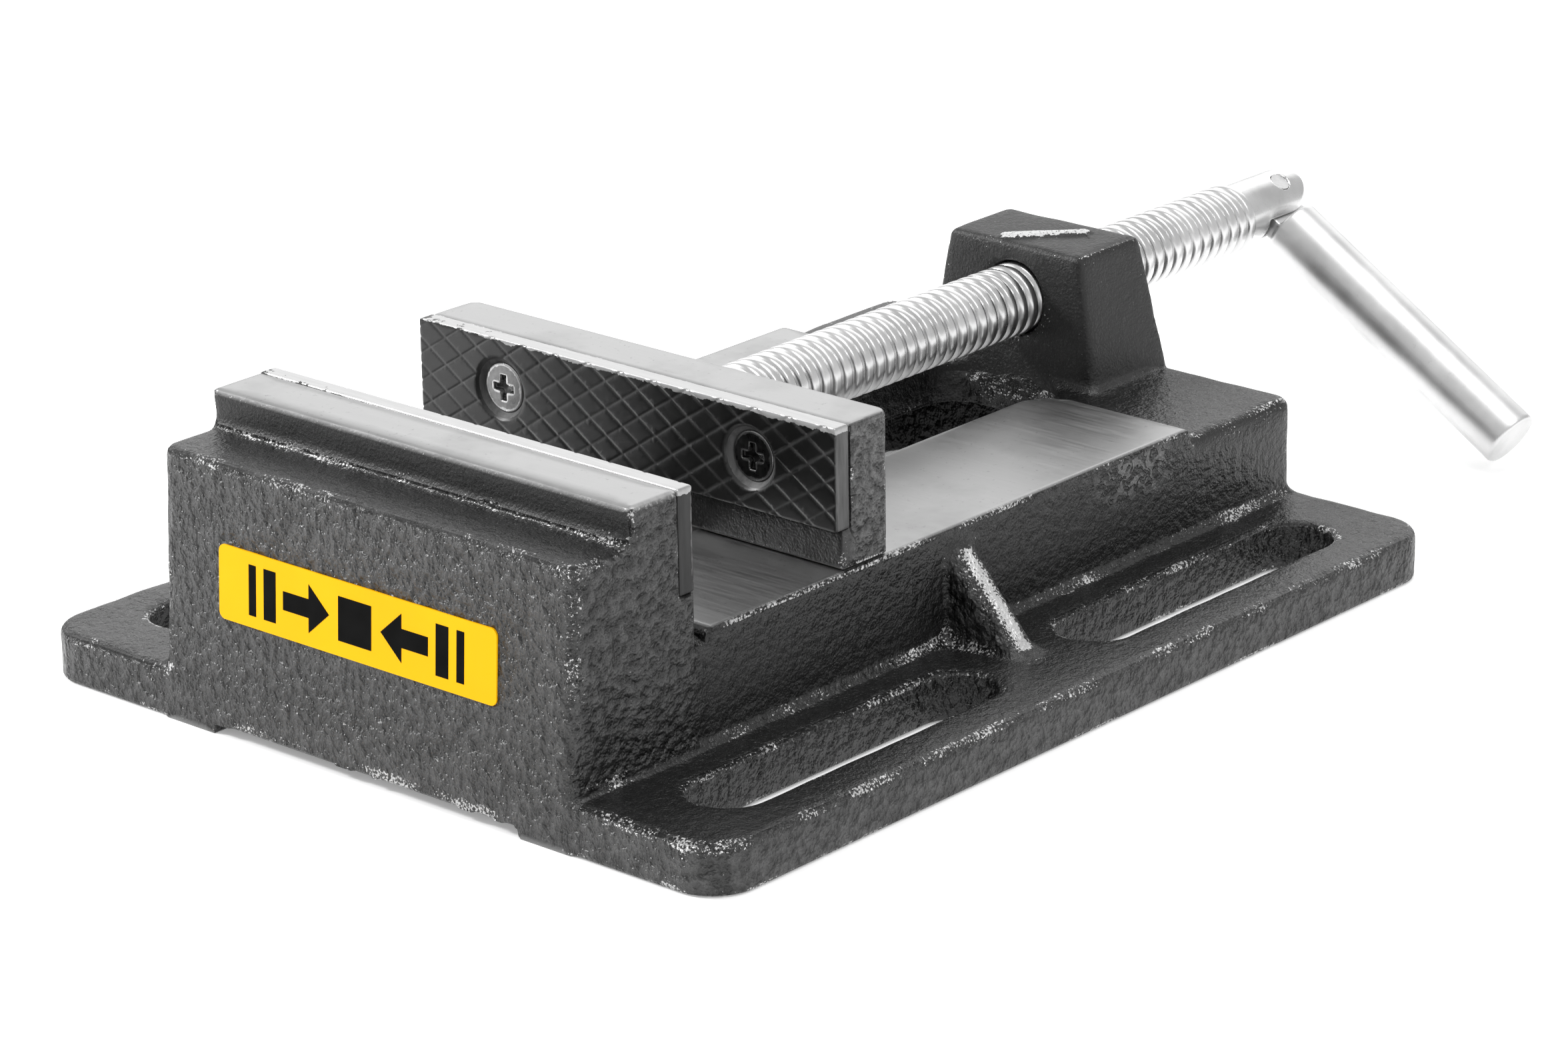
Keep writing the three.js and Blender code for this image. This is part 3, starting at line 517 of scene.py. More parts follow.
HEAD_RADIUS = 4.7
HEAD_SUNK = 0.95
SHANK_RADIUS = 2.45
SCREW_LENGTH = 11.4
CROSS_REACH, CROSS_HALF = 2.45, 0.5
CROSS_CORE, CROSS_DEPTH = 1.15, 1.55
GROOVE_ANGLE = math.radians(33)
GROOVE_SPACING = 4.3
GROOVE_DEPTH = 0.22
GROOVE_HALF = 0.3
SINK_RADIUS = 6.1
SINK_DEPTH = 1.25
SCREW_HOLE_RADIUS = 2.8
COUNTERSINK = 0.7071  # cosine of 45 degrees


def groove_field(g):
    """Depth of the crossed grooves under each point of a plate's face."""
    depth = 0
    for side in (-1, 1):
        across = g.y * math.sin(GROOVE_ANGLE) + side * (g.z - JAW_TOP) * math.cos(GROOVE_ANGLE)
        offset = np.abs((across + GROOVE_SPACING / 2) % GROOVE_SPACING - GROOVE_SPACING / 2)
        depth = np.maximum(depth, GROOVE_DEPTH * np.clip(1 - offset / GROOVE_HALF, 0, 1))
    return depth


def plate_field(g, low, high, facing):
    """A jaw plate; facing is -1 where its gripping face looks along -X, and 1 where along +X."""
    face = low.x if facing < 0 else high.x
    inward = (face - g.x) * facing
    depth = high.x - low.x
    outline = both(slab(g.y, low.y, high.y), slab(g.z, low.z, high.z), 0.5)
    front = groove_field(g) - inward
    body = both(both(outline, front, 0.25), inward - depth, 0.3)
    from_centre = np.hypot(np.abs(g.y) - HEAD_Y, g.z - HEAD_Z)
    cone = (from_centre - SINK_RADIUS + inward) * COUNTERSINK
    sink = both(cone, inward - SINK_DEPTH)
    seat = both(from_centre - HEAD_RADIUS - 0.15, inward - SINK_DEPTH - 0.2)
    hole = np.minimum(np.minimum(sink, seat), from_centre - SCREW_HOLE_RADIUS)
    lower = both(from_centre - HEAD_RADIUS - 0.2 + np.maximum(inward - 1.2, 0), inward - depth - 1)
    return without(body, np.minimum(hole, lower), 0.12)


def build_plate(name, low, high, facing, body, node, end_shade):
    g = Grid(low, high, STEP_PLATE)
    piece, points = solid(name, g, plate_field(g, low, high, facing), sharp=30)
    x, y, z = points.T
    face = low.x if facing < 0 else high.x
    top = np.clip((z - JAW_TOP) / 2.5 + 1, 0, 1)
    mark(piece, "top", top)
    mark(piece, "face", np.clip(1 - np.abs(x - face) / 0.6, 0, 1))
    mark(piece, "across", (y - low.y) / (high.y - low.y))
    mark(piece, "groove", np.clip((np.abs(x - face) - 0.06) / 0.12, 0, 1))
    near = np.hypot(np.abs(y) - HEAD_Y, z - HEAD_Z)
    mark(piece, "sink", (near < SINK_RADIUS + 0.05).astype(np.float32))
    piece.data.materials.append(blacked_plate("blacked_" + name, end_shade))
    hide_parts(node)
    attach(piece, body)


def screw_head_field(g, face, facing, y, z):
    """A countersunk screw with a cross recess that narrows towards its bottom."""
    inward = (face - g.x) * facing
    across, up = np.abs(g.y - y), np.abs(g.z - z)
    away = np.hypot(g.y - y, g.z - z)
    dome = HEAD_SUNK + 0.012 * away * away
    head = both(away - HEAD_RADIUS, dome - inward, 0.35)
    head = both(head, (away - HEAD_RADIUS + inward - HEAD_SUNK - 0.35) * COUNTERSINK)
    shank = both(away - SHANK_RADIUS, slab(inward, HEAD_SUNK + 1, SCREW_LENGTH))
    half = CROSS_HALF + 0.12 * (HEAD_SUNK + 1.6 - inward)
    cross = np.minimum(both(across - CROSS_REACH, up - half), both(up - CROSS_REACH, across - half))
    bottom = inward - HEAD_SUNK - CROSS_DEPTH + 0.3 * away
    recess = both(either(cross, away - CROSS_CORE, 0.25), bottom)
    return np.minimum(without(head, recess, 0.12), without(shank, recess))


def build_plate_screw(node, body, face, facing, y, blacked_and_shaded):
    """The last argument is 1 for a blacked screw given the painted shade of its sink, and 0 for a
    brighter one.
    """
    end = face - (SCREW_LENGTH + 0.1) * facing
    low = (min(face, end), y - HEAD_RADIUS, HEAD_Z - HEAD_RADIUS)
    high = (max(face, end), y + HEAD_RADIUS, HEAD_Z + HEAD_RADIUS)
    g = Grid(low, high, STEP_SMALL)
    piece, _ = solid("look_" + node, g, screw_head_field(g, face, facing, y, HEAD_Z))
    piece.data.materials.append(screw_steel("screw_steel_" + node, blacked_and_shaded))
    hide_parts(node)
    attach(piece, body)


# ---- Lead screw ----

def thread_profile():
    """One pitch of the thread: position along the pitch and height from 0 at the root to 1."""
    rise = [(0.00, 0.00), (0.04, 0.04), (0.12, 0.50), (0.20, 0.84), (0.30, 0.97), (0.42, 1.00)]
    return rise + [(1 - u, h) for u, h in reversed(rise[1:])]


def thread_mesh(start, end, sides):
    """A helical sweep whose two ends run out to the root and close on flat discs."""
    profile = thread_profile()
    turns = math.ceil((end - start) / THREAD_PITCH) + 2
    along = np.array([(turn + u) * THREAD_PITCH for turn in range(turns) for u, _ in profile])
    height = np.array([h for _ in range(turns) for _, h in profile])
    angle = np.linspace(0, 2 * math.pi, sides + 1)
    x = start - THREAD_PITCH + along[:, None] + THREAD_PITCH * angle[None, :] / (2 * math.pi)
    fade = ramp(x, start + 0.2, start + 1.6) * (1 - ramp(x, end - 1.8, end - 0.2))
    radius = THREAD_ROOT + (THREAD_RADIUS - THREAD_ROOT) * height[:, None] * fade
    x = np.clip(x, start, end)
    rows, columns = x.shape
    points = np.stack([x, radius * np.cos(angle), radius * np.sin(angle)], -1).reshape(-1, 3)
    i, j = np.meshgrid(np.arange(rows - 1), np.arange(columns - 1), indexing="ij")
    first = (i * columns + j).reshape(-1)
    quads = np.stack([first, first + 1, first + columns + 1, first + columns], -1)
    return points, quads


def neck_field(g):
    """The plain neck and the fork whose end is round about the handle pin."""
    across, up = fork_axes(g.y, g.z - SCREW_Z)
    bar = np.hypot(g.y, g.z - SCREW_Z) - NECK_RADIUS
    tip = np.hypot(g.x - PIN_X, across) - NECK_RADIUS
    body = both(both(bar, np.minimum(tip, g.x - PIN_X), 0.6), THREAD_END - 2.2 - g.x, 0.5)
    slot = both(np.abs(up) - FORK_SLOT / 2, PIN_X - FORK_DEPTH - g.x)
    pin_hole = np.hypot(g.x - PIN_X, across) - PIN_HOLE_RADIUS
    return without(without(body, slot, 0.35), pin_hole, 0.15)


def fork_axes(y, z):
    """Turns y and z so that the second one lies along the handle pin."""
    c, s = math.cos(LEVER_DROOP), math.sin(LEVER_DROOP)
    return y * c + z * s, -y * s + z * c


def nose_field(g):
    """The plain nose inside the moving jaw, with the groove that its retaining pins sit in."""
    away = np.hypot(g.y, g.z - SCREW_Z)
    body = both(away - NOSE_RADIUS, slab(g.x, SCREW_LOW.x, THREAD_START + 1), 0.5)
    groove_x = (RETAINER_X - NOSE_GROOVE_HALF, RETAINER_X + NOSE_GROOVE_HALF)
    groove = both(NOSE_GROOVE_RADIUS - away, slab(g.x, *groove_x))
    return without(body, groove, 0.1)


def screw_grid(start, end, reach, step):
    """Grid points along a stretch of the screw's axis."""
    return Grid((start, -reach, SCREW_Z - reach), (end, reach, SCREW_Z + reach), step)


def build_lead_screw():
    sides = 96
    points, quads = thread_mesh(THREAD_START, THREAD_END, sides)
    points[:, 2] += SCREW_Z
    mesh = bpy.data.meshes.new("vise_lead_screw")
    fill_mesh(mesh, to_row_frame(points), np.zeros((0, 3), int), quads)
    close_ends(mesh)
    thread = bpy.data.objects.new("vise_lead_screw", mesh)
    bpy.context.scene.collection.objects.link(thread)
    neck_grid = screw_grid(THREAD_END - 3, SCREW_HIGH.x, THREAD_RADIUS, STEP_SMALL * 1.5)
    neck, _ = solid("neck", neck_grid, neck_field(neck_grid), smooth=0)
    nose_grid = screw_grid(SCREW_LOW.x, THREAD_START + 1, NOSE_RADIUS + 1, STEP_SMALL * 2)
    nose, _ = solid("nose", nose_grid, nose_field(nose_grid))
    piece = join([thread, neck, nose])
    piece.data.materials.clear()
    piece.data.materials.append(bright_zinc("bright_zinc_screw", 0.24))
    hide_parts("lead_screw")
    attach(piece, "screw")


def close_ends(mesh):
    """Merges the swept columns, drops faces without area and closes the two open ends."""
    work = bmesh.new()
    work.from_mesh(mesh)
    bmesh.ops.remove_doubles(work, verts=work.verts, dist=1e-7)
    bmesh.ops.dissolve_degenerate(work, dist=1e-7, edges=work.edges)
    open_edges = [e for e in work.edges if e.is_boundary]
    bmesh.ops.holes_fill(work, edges=open_edges, sides=0)
    bmesh.ops.recalc_face_normals(work, faces=work.faces)
    for face in work.faces:
        face.smooth = True
    work.to_mesh(mesh)
    work.free()
    mesh.set_sharp_from_angle(angle=math.radians(40))


def join(pieces):
    bpy.ops.object.select_all(action="DESELECT")
    for piece in pieces:
        piece.select_set(True)
    bpy.context.view_layer.objects.active = pieces[0]
    bpy.ops.object.join()
    return pieces[0]


# ---- Handle lever ----

def lever_field(g):
    """The lever along +X of its own grid, with the pin at the origin along Z."""
    away = np.hypot(g.y, g.z)
    bar = both(away - LEVER_RADIUS, slab(g.x, LEVER_SHOULDER, LEVER_LENGTH), 0.75)
    tongue = both(np.hypot(np.minimum(g.x, 0), g.y) - TONGUE_RADIUS, np.abs(g.z) - TONGUE_HALF, 0.3)
    tongue = both(tongue, g.x - LEVER_SHOULDER - 2)
    pin_hole = np.hypot(g.x, g.y) - PIN_HOLE_RADIUS - 0.05
    return without(either(bar, tongue, 0.4), pin_hole, 0.15)


def lever_place(points):
    """From the lever's own axes to the row frame: it hangs to the -Y side."""
    c, s = math.cos(LEVER_DROOP), math.sin(LEVER_DROOP)
    along = np.array([0, -c, -s])
    pin = np.array([0, -s, c])
    side = np.cross(pin, along)
    centre = np.array([PIN_X, 0, SCREW_Z])
    placed = points[:, :1] * along + points[:, 1:2] * side + points[:, 2:] * pin + centre
    return to_row_frame(placed)


def build_lever():
    around = LEVER_RADIUS + 1
    g = Grid((-LEVER_RADIUS, -around, -around), (LEVER_LENGTH, around, around), STEP_SMALL * 2)
    piece, _ = solid("vise_lever", g, lever_field(g), place=lever_place, smooth=0)
    piece.data.materials.append(bright_zinc("bright_zinc_lever", 0.36))
    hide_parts("handle_lever")
    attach(piece, "lever")


# ---- Label ----

SQUARE_HALF = 4
ARROW_TIP, ARROW_NECK, ARROW_END = 6.2, 11.2, 17.5
ARROW_HEAD_HALF, ARROW_SHAFT_HALF = 4.4, 1.7
JAW_SIGN, JAW_BACK_SIGN = (19.3, 22.3), (24.2, 26.0)
JAW_SIGN_HALF = 4.6
LABEL_CORNER = 1.4
STICKER_LAYER, INK_LAYER = (-0.2, 0.3), (0.25, 0.34)


def label_marks():
    """A generic sign for clamping: two jaws closing on a square part. Each shape is a list of corners."""
    def bar(y0, y1, half):
        return [(y0, -half), (y1, -half), (y1, half), (y0, half)]

    head = [(ARROW_TIP, 0), (ARROW_NECK, ARROW_HEAD_HALF), (ARROW_NECK, -ARROW_HEAD_HALF)]
    shaft = bar(ARROW_NECK, ARROW_END, ARROW_SHAFT_HALF)
    jaws = [bar(*width, JAW_SIGN_HALF) for width in (JAW_SIGN, JAW_BACK_SIGN)]
    shapes = [bar(-SQUARE_HALF, SQUARE_HALF, SQUARE_HALF)]
    for side in (-1, 1):
        shapes += [[(side * y, z) for y, z in shape] for shape in (head, shaft, *jaws)]
    return shapes


def flat_prism(name, outlines, layer, centre, material):
    """Flat shapes on the drafted front face; layer is how far proud of it their two sides are."""
    work = bmesh.new()
    for outline in outlines:
        rings = []
        for proud in layer:
            ring = []
            for y, z in outline:
                height = centre[1] + z
                x = float(front_face(height)) - proud
                ring.append(work.verts.new((x * MM + FRONT, (centre[0] + y) * MM, height * MM)))
            rings.append(ring)
        count = len(outline)
        work.faces.new(rings[0])
        work.faces.new(rings[1][::-1])
        for i in range(count):
            j = (i + 1) % count
            work.faces.new((rings[0][j], rings[0][i], rings[1][i], rings[1][j]))
    bmesh.ops.recalc_face_normals(work, faces=work.faces)
    mesh = bpy.data.meshes.new(name)
    work.to_mesh(mesh)
    work.free()
    piece = bpy.data.objects.new(name, mesh)
    bpy.context.scene.collection.objects.link(piece)
    mesh.materials.append(material)
    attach(piece, "base")
    return piece


def rounded_outline(half_width, half_height, radius, steps=8):
    outline = []
    for quarter, (sy, sz) in enumerate(((1, 1), (-1, 1), (-1, -1), (1, -1))):
        for step in range(steps + 1):
            angle = math.pi / 2 * (quarter + step / steps)
            outline.append((sy * (half_width - radius) + radius * math.cos(angle),
                            sz * (half_height - radius) + radius * math.sin(angle)))
    return outline


def round_edges(piece, width):
    edge = piece.modifiers.new("edge", "BEVEL")
    edge.width = width * MM
    edge.segments = 2
    return edge


def build_label():
    centre = ((LABEL_LOW.y + LABEL_HIGH.y) / 2, (LABEL_LOW.z + LABEL_HIGH.z) / 2)
    half_width = (LABEL_HIGH.y - LABEL_LOW.y) / 2
    half_height = (LABEL_HIGH.z - LABEL_LOW.z) / 2
    outline = rounded_outline(half_width, half_height, LABEL_CORNER)
    sticker = flat_prism("label_sticker", [outline], STICKER_LAYER, centre, yellow_vinyl())
    round_edges(sticker, 0.06)
    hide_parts("label_plate")
    flat_prism("label_marks", label_marks(), INK_LAYER, centre, black_ink())


# ---- Materials ----

class Shader:
    """A material's node tree, with short names for the nodes used here."""

    def __init__(self, name):
        self.material = bpy.data.materials.new(name)
        self.material.use_nodes = True
        self.tree = self.material.node_tree
        self.surface = self.tree.nodes["Principled BSDF"]
        self.object = self.tree.nodes.new("ShaderNodeTexCoord").outputs["Object"]

    def link(self, source, target):
        self.tree.links.new(source, target)

    def put(self, socket, value):
        if isinstance(value, bpy.types.NodeSocket):
            self.link(value, socket)
        else:
            socket.default_value = value

    def stretched(self, scale):
        node = self.tree.nodes.new("ShaderNodeMapping")
        self.link(self.object, node.inputs["Vector"])
        node.inputs["Scale"].default_value = scale
        return node.outputs["Vector"]

    def noise(self, scale, detail=2.0, rough=0.5, vector=None, distortion=0.0):
        node = self.tree.nodes.new("ShaderNodeTexNoise")
        self.link(vector or self.object, node.inputs["Vector"])
        node.inputs["Scale"].default_value = scale
        node.inputs["Detail"].default_value = detail
        node.inputs["Roughness"].default_value = rough
        node.inputs["Distortion"].default_value = distortion
        return node.outputs["Fac"]

    def math(self, operation, a, b=0.0):
        node = self.tree.nodes.new("ShaderNodeMath")
        node.operation = operation
        self.put(node.inputs[0], a)
        self.put(node.inputs[1], b)
        return node.outputs[0]

    def span(self, value, low, high, out_low=0.0, out_high=1.0):
        node = self.tree.nodes.new("ShaderNodeMapRange")
        self.put(node.inputs["Value"], value)
        node.inputs["From Min"].default_value = low
        node.inputs["From Max"].default_value = high
        node.inputs["To Min"].default_value = out_low
        node.inputs["To Max"].default_value = out_high
        return node.outputs["Result"]

    def mix(self, factor, a, b):
        node = self.tree.nodes.new("ShaderNodeMix")
        node.data_type = "RGBA"
        self.put(node.inputs["Factor"], factor)
        self.put(node.inputs["A"], grey(a) if isinstance(a, float) else a)
        self.put(node.inputs["B"], grey(b) if isinstance(b, float) else b)
        return node.outputs["Result"]

    def blend(self, factor, a, b):
        node = self.tree.nodes.new("ShaderNodeMix")
        node.data_type = "FLOAT"
        self.put(node.inputs["Factor"], factor)
        self.put(node.inputs["A"], a)
        self.put(node.inputs["B"], b)
        return node.outputs["Result"]

    def attribute(self, name):
        node = self.tree.nodes.new("ShaderNodeAttribute")
        node.attribute_type = "GEOMETRY"
        node.attribute_name = name
        return node.outputs["Fac"]

    def inverse(self, value):
        return self.math("SUBTRACT", 1.0, value)

    def bump(self, height, distance, strength=1.0):
        node = self.tree.nodes.new("ShaderNodeBump")
        node.inputs["Strength"].default_value = strength
        node.inputs["Distance"].default_value = distance
        self.put(node.inputs["Height"], height)
        return node.outputs["Normal"]

    def specular(self, level):
        self.surface.inputs["Specular IOR Level"].default_value = level

    def finish(self, color, rough, metal, normal=None):
        self.put(self.surface.inputs["Base Color"], color)
        self.put(self.surface.inputs["Roughness"], rough)
        self.put(self.surface.inputs["Metallic"], metal)
        if normal:
            self.put(self.surface.inputs["Normal"], normal)
        return self.material


def grey(value):
    return (value, value, value, 1.0)


# Shades of the plates' ends
FIXED_END_SHADE, MOVING_END_SHADE = 0.02, 0.08

# Scales of the skin's noise, per metre, and how deep its relief is, in metres
PEBBLES, VEINS, GRIT, CHIPS = 520, 360, 1900, 2100
SKIN_DEPTH = 0.0021
GRIT_SHARE, VEIN_SHARE = 0.09, 0.35

# Shades as linear grey: the painted shade of the hollows and the painted highlight of the crests, for
# fresh paint and for paint that is dull or given painted light, then what lies over the paint
FRESH_HOLLOW_SHADE, FRESH_CREST_HIGHLIGHT = 0.004, 0.028
DULL_LIT_HOLLOW_SHADE, DULL_LIT_CREST_HIGHLIGHT = 0.03, 0.12
GRIT_SHADE, VEIN_SHADE, CHIP_SHADE = 0.10, 0.11, 0.60


def iron_paint(s, lit_crests, grit, veins):
    """Dark paint with painted shade in the pebbles' hollows and painted highlight on their crests,
    lighter where dull or given painted light, with light specks and veins.
    """
    dull_and_lit = s.attribute("dull_and_lit")
    # painted shade in the pebbles' hollows and painted highlight on their crests
    hollow = s.mix(dull_and_lit, FRESH_HOLLOW_SHADE, DULL_LIT_HOLLOW_SHADE)
    crest_highlight = s.mix(dull_and_lit, FRESH_CREST_HIGHLIGHT, DULL_LIT_CREST_HIGHLIGHT)
    paint = s.mix(lit_crests, hollow, crest_highlight)
    paint = s.mix(s.span(grit, 0.60, 0.74, 0, 0.35), paint, GRIT_SHADE)
    return s.mix(veins, paint, VEIN_SHADE)


def iron_chips(s, calm):
    """Fine specks of bare metal, likely on sharp edges and in worn places, rare on smooth skin."""
    bend = s.math("ABSOLUTE", s.attribute("bend"))
    patches = s.span(s.noise(90, 3), 0.42, 0.62, 0.2, 0.9)
    chance = s.math("MULTIPLY", s.span(bend, 0.15, 0.55), patches)
    chance = s.math("MULTIPLY", chance, s.span(calm, 0.85, 0.95, 1.0, 0.25))
    chance = s.math("MAXIMUM", chance, s.attribute("worn"))
    specks = s.math("ADD", s.math("MULTIPLY", chance, 0.31), s.noise(CHIPS, 2, 0.6))
    return s.span(specks, 0.76, 0.81)


def ground_iron(s, grain):
    """Bare iron with a grinding grain, grey stains and small dark pores."""
    stains = s.span(s.noise(35, 4, 0.7), 0.50, 0.72, 0, 0.7)
    pores = s.span(s.noise(900, 3, 0.7), 0.63, 0.72, 0, 0.6)
    metal = s.mix(s.span(grain, 0.35, 0.65), 0.36, 0.40)
    metal = s.mix(stains, metal, 0.28)
    return s.mix(pores, metal, 0.20)


def cast_iron(name):
    """Dark semi-gloss paint over a pebbly sand-cast skin, with painted highlight on the crests and
    painted shade in the hollows, chipped at the edges, bare where ground.
    """
    s = Shader(name)
    s.specular(0.55)
    ground = s.attribute("ground")
    calm = s.attribute("calm")
    painted = s.inverse(ground)
    pebbles = s.noise(PEBBLES, 2.5, 0.55)
    relief = s.math("MULTIPLY", s.inverse(calm), painted)
    # how strongly each pebble's crest gets its painted highlight; none on calm skin
    lit_crests = s.math("MULTIPLY", s.span(pebbles, 0.40, 0.62), relief)
    grit = s.noise(GRIT, 2, 0.6)
    veins = s.span(s.noise(VEINS, 2, 0.5, distortion=1.6), 0.47, 0.52)
    veins = s.math("MULTIPLY", veins, s.attribute("rough_patch"))
    chips = iron_chips(s, calm)
    grain = s.noise(60, 4, 0.6, s.stretched((26, 1.5, 10)))
    paint = s.mix(chips, iron_paint(s, lit_crests, grit, veins), CHIP_SHADE)
    color = s.mix(ground, paint, ground_iron(s, grain))

    satin = s.math("ADD", s.span(grit, 0.3, 0.7, 0.25, 0.40), s.span(calm, 0.85, 0.95, 0, 0.22))
    rough = s.blend(ground, satin, s.span(grain, 0.3, 0.7, 0.34, 0.44))
    shine = s.math("MAXIMUM", ground, s.math("MULTIPLY", chips, 0.5))
    height = s.math("MULTIPLY", pebbles, relief)
    height = s.math("ADD", height, s.math("MULTIPLY", s.math("MULTIPLY", grit, painted), GRIT_SHARE))
    height = s.math("ADD", height, s.math("MULTIPLY", veins, VEIN_SHARE))
    return s.finish(color, rough, shine, s.bump(height, SKIN_DEPTH))


def ragged_top(s):
    """1 on the ground top edge of a plate, whose lower border is ragged and rises to one end."""
    chips = s.math("ADD", s.noise(330, 4, 0.7), s.math("MULTIPLY", s.noise(1300, 2), 0.25))
    border = s.span(s.attribute("across"), 0.0, 1.0, 0.54, 0.90)
    border = s.math("ADD", border, s.span(chips, 0.35, 0.85, -0.16, 0.22))
    return s.math("GREATER_THAN", s.attribute("top"), border)


def blacked_face(s, tone):
    """Black with the grooves worn grey in places, and a little lighter in the screw sinks."""
    sink = s.attribute("sink")
    black = s.mix(s.span(tone, 0.35, 0.7), 0.003, 0.009)
    groove = s.math("MULTIPLY", s.attribute("groove"), s.inverse(sink))
    worn = s.math("MULTIPLY", groove, s.span(s.noise(180, 2), 0.3, 0.6))
    return s.mix(sink, s.mix(worn, black, 0.09), 0.02)


def blacked_plate(name, end_shade):
    """Blacked steel with a bare top edge; its ends have a shade of their own."""
    s = Shader(name)
    bare = ragged_top(s)
    ends = s.math("LESS_THAN", s.attribute("face"), 0.15)
    tone = s.noise(55, 3)
    brushed = s.noise(110, 3, 0.6, s.stretched((6, 6, 0.8)))
    end_color = s.mix(s.span(brushed, 0.35, 0.65), end_shade * 0.6, end_shade * 1.4)
    lines = s.noise(70, 4, 0.6, s.stretched((24, 1.2, 4)))
    metal = s.mix(s.span(lines, 0.35, 0.65), 0.37, 0.42)
    color = s.mix(bare, s.mix(ends, blacked_face(s, tone), end_color), metal)
    rough = s.blend(bare, s.blend(ends, s.span(tone, 0.3, 0.7, 0.32, 0.44), 0.6), 0.30)
    shine = s.math("MULTIPLY", bare, s.span(s.attribute("top"), 0.85, 1.0, 0.2, 1.0))
    return s.finish(color, rough, shine, s.bump(s.noise(900, 3), 0.00003, 0.5))


def screw_steel(name, blacked_and_shaded):
    """Cross-head screw steel with edges painted brighter as a highlight; the second argument runs from 0,
    plain, to 1, blacked and darkened as painted shade.
    """
    s = Shader(name)
    tone = s.noise(900, 3)
    # darker for a shaded screw: blacking and painted shade
    color = s.mix(s.span(tone, 0.3, 0.7), 0.13 - 0.11 * blacked_and_shaded, 0.22 - 0.18 * blacked_and_shaded)
    # lighter on the head's outer edges: a painted highlight
    color = s.mix(s.span(s.attribute("bend"), 0.2, 0.5), color, 0.5 - 0.3 * blacked_and_shaded)
    rough = s.span(tone, 0.3, 0.7, 0.24, 0.38)
    return s.finish(color, rough, 0.9, s.bump(tone, 0.00003, 0.5))


def bright_zinc(name, rough):
    """Zinc-plated steel with a soft, slightly uneven shine."""
    s = Shader(name)
    tone = s.noise(90, 3, 0.6)
    color = s.mix(s.span(tone, 0.3, 0.7), 0.62, 0.78)
    color = s.mix(s.span(s.noise(900, 3, 0.7), 0.6, 0.75, 0, 0.3), color, 0.45)
    rough = s.span(tone, 0.3, 0.7, rough, rough + 0.08)
    return s.finish(color, rough, 1.0, s.bump(tone, 0.00001, 0.3))


def plain_steel(name, shade):
    """Steel of the keeper plate, bolts, washers and pins."""
    s = Shader(name)
    tone = s.noise(400, 4, 0.65)
    color = s.mix(s.span(tone, 0.3, 0.7), shade * 0.75, shade)
    rough = s.span(tone, 0.3, 0.7, 0.28, 0.46)
    return s.finish(color, rough, 0.95, s.bump(tone, 0.00005, 0.6))


def yellow_vinyl():
    """The sticker's slightly uneven yellow."""
    s = Shader("yellow_vinyl")
    s.specular(0.1)
    tone = s.noise(60, 2)
    color = s.mix(s.span(tone, 0.3, 0.7), (1.0, 0.48, 0.0, 1), (1.0, 0.51, 0.0, 1))
    rough = s.span(s.noise(300, 2), 0.3, 0.7, 0.38, 0.46)
    return s.finish(color, rough, 0.0, s.bump(s.noise(240, 2), 0.00002, 0.4))


def black_ink():
    """The ink of the sticker's marks."""
    s = Shader("black_ink")
    s.specular(0.03)
    tone = s.noise(200, 2)
    color = s.mix(s.span(tone, 0.3, 0.7), 0.002, 0.005)
    rough = s.span(tone, 0.3, 0.7, 0.36, 0.46)
    return s.finish(color, rough, 0.0, s.bump(tone, 0.00002, 0.3))


# ---- CAD nodes that keep their shape and get a finish ----

KEPT_NODES = {
    "keeper_plate": ("keeper_steel", 0.30),
    "keeper_bolt_front": ("bolt_steel", 0.42),
    "keeper_bolt_rear": ("bolt_steel", 0.42),
    "keeper_lock_washer_front": ("washer_steel", 0.36),
    "keeper_lock_washer_rear": ("washer_steel", 0.36),
    "keeper_flat_washer_front": ("washer_steel", 0.50),
    "keeper_flat_washer_rear": ("washer_steel", 0.50),
    "screw_retaining_pin_left": ("pin_steel", 0.40),
    "screw_retaining_pin_right": ("pin_steel", 0.40),
    "handle_pin": ("pin_steel", 0.80),
}


def finish_kept_nodes():
    for node, (name, shade) in KEPT_NODES.items():
        part = frame["nodes"][node]
        part.data.materials.clear()
        part.data.materials.append(plain_steel(f"{name}_{node}", shade))
        round_edges(part, 0.2).limit_method = "ANGLE"


# ---- Camera, light and floor ----

CAMERA_AZIMUTH = math.radians(-48.322)
CAMERA_ELEVATION = math.radians(19.867)
CAMERA_ROLL = math.radians(-0.951)
CAMERA_DISTANCE = 0.99815
CAMERA_AIM = Vector((FRONT + 0.1017034, -0.0070268, 0.02059))
CAMERA_LENS = 125.98
SENSOR_WIDTH = 36
WORLD_STRENGTH = 0.66
FLOOR_GLOW = 0.25
FLOOR_SIZE = 3.0


def view_axes(azimuth, elevation):
    """Right, up and back for someone looking at the origin from the given direction."""
    back = Vector((
        math.sin(azimuth) * math.cos(elevation),
        -math.cos(azimuth) * math.cos(elevation),
        math.sin(elevation)))
    right = Vector((0, 0, 1)).cross(back).normalized()
    return right, back.cross(right), back


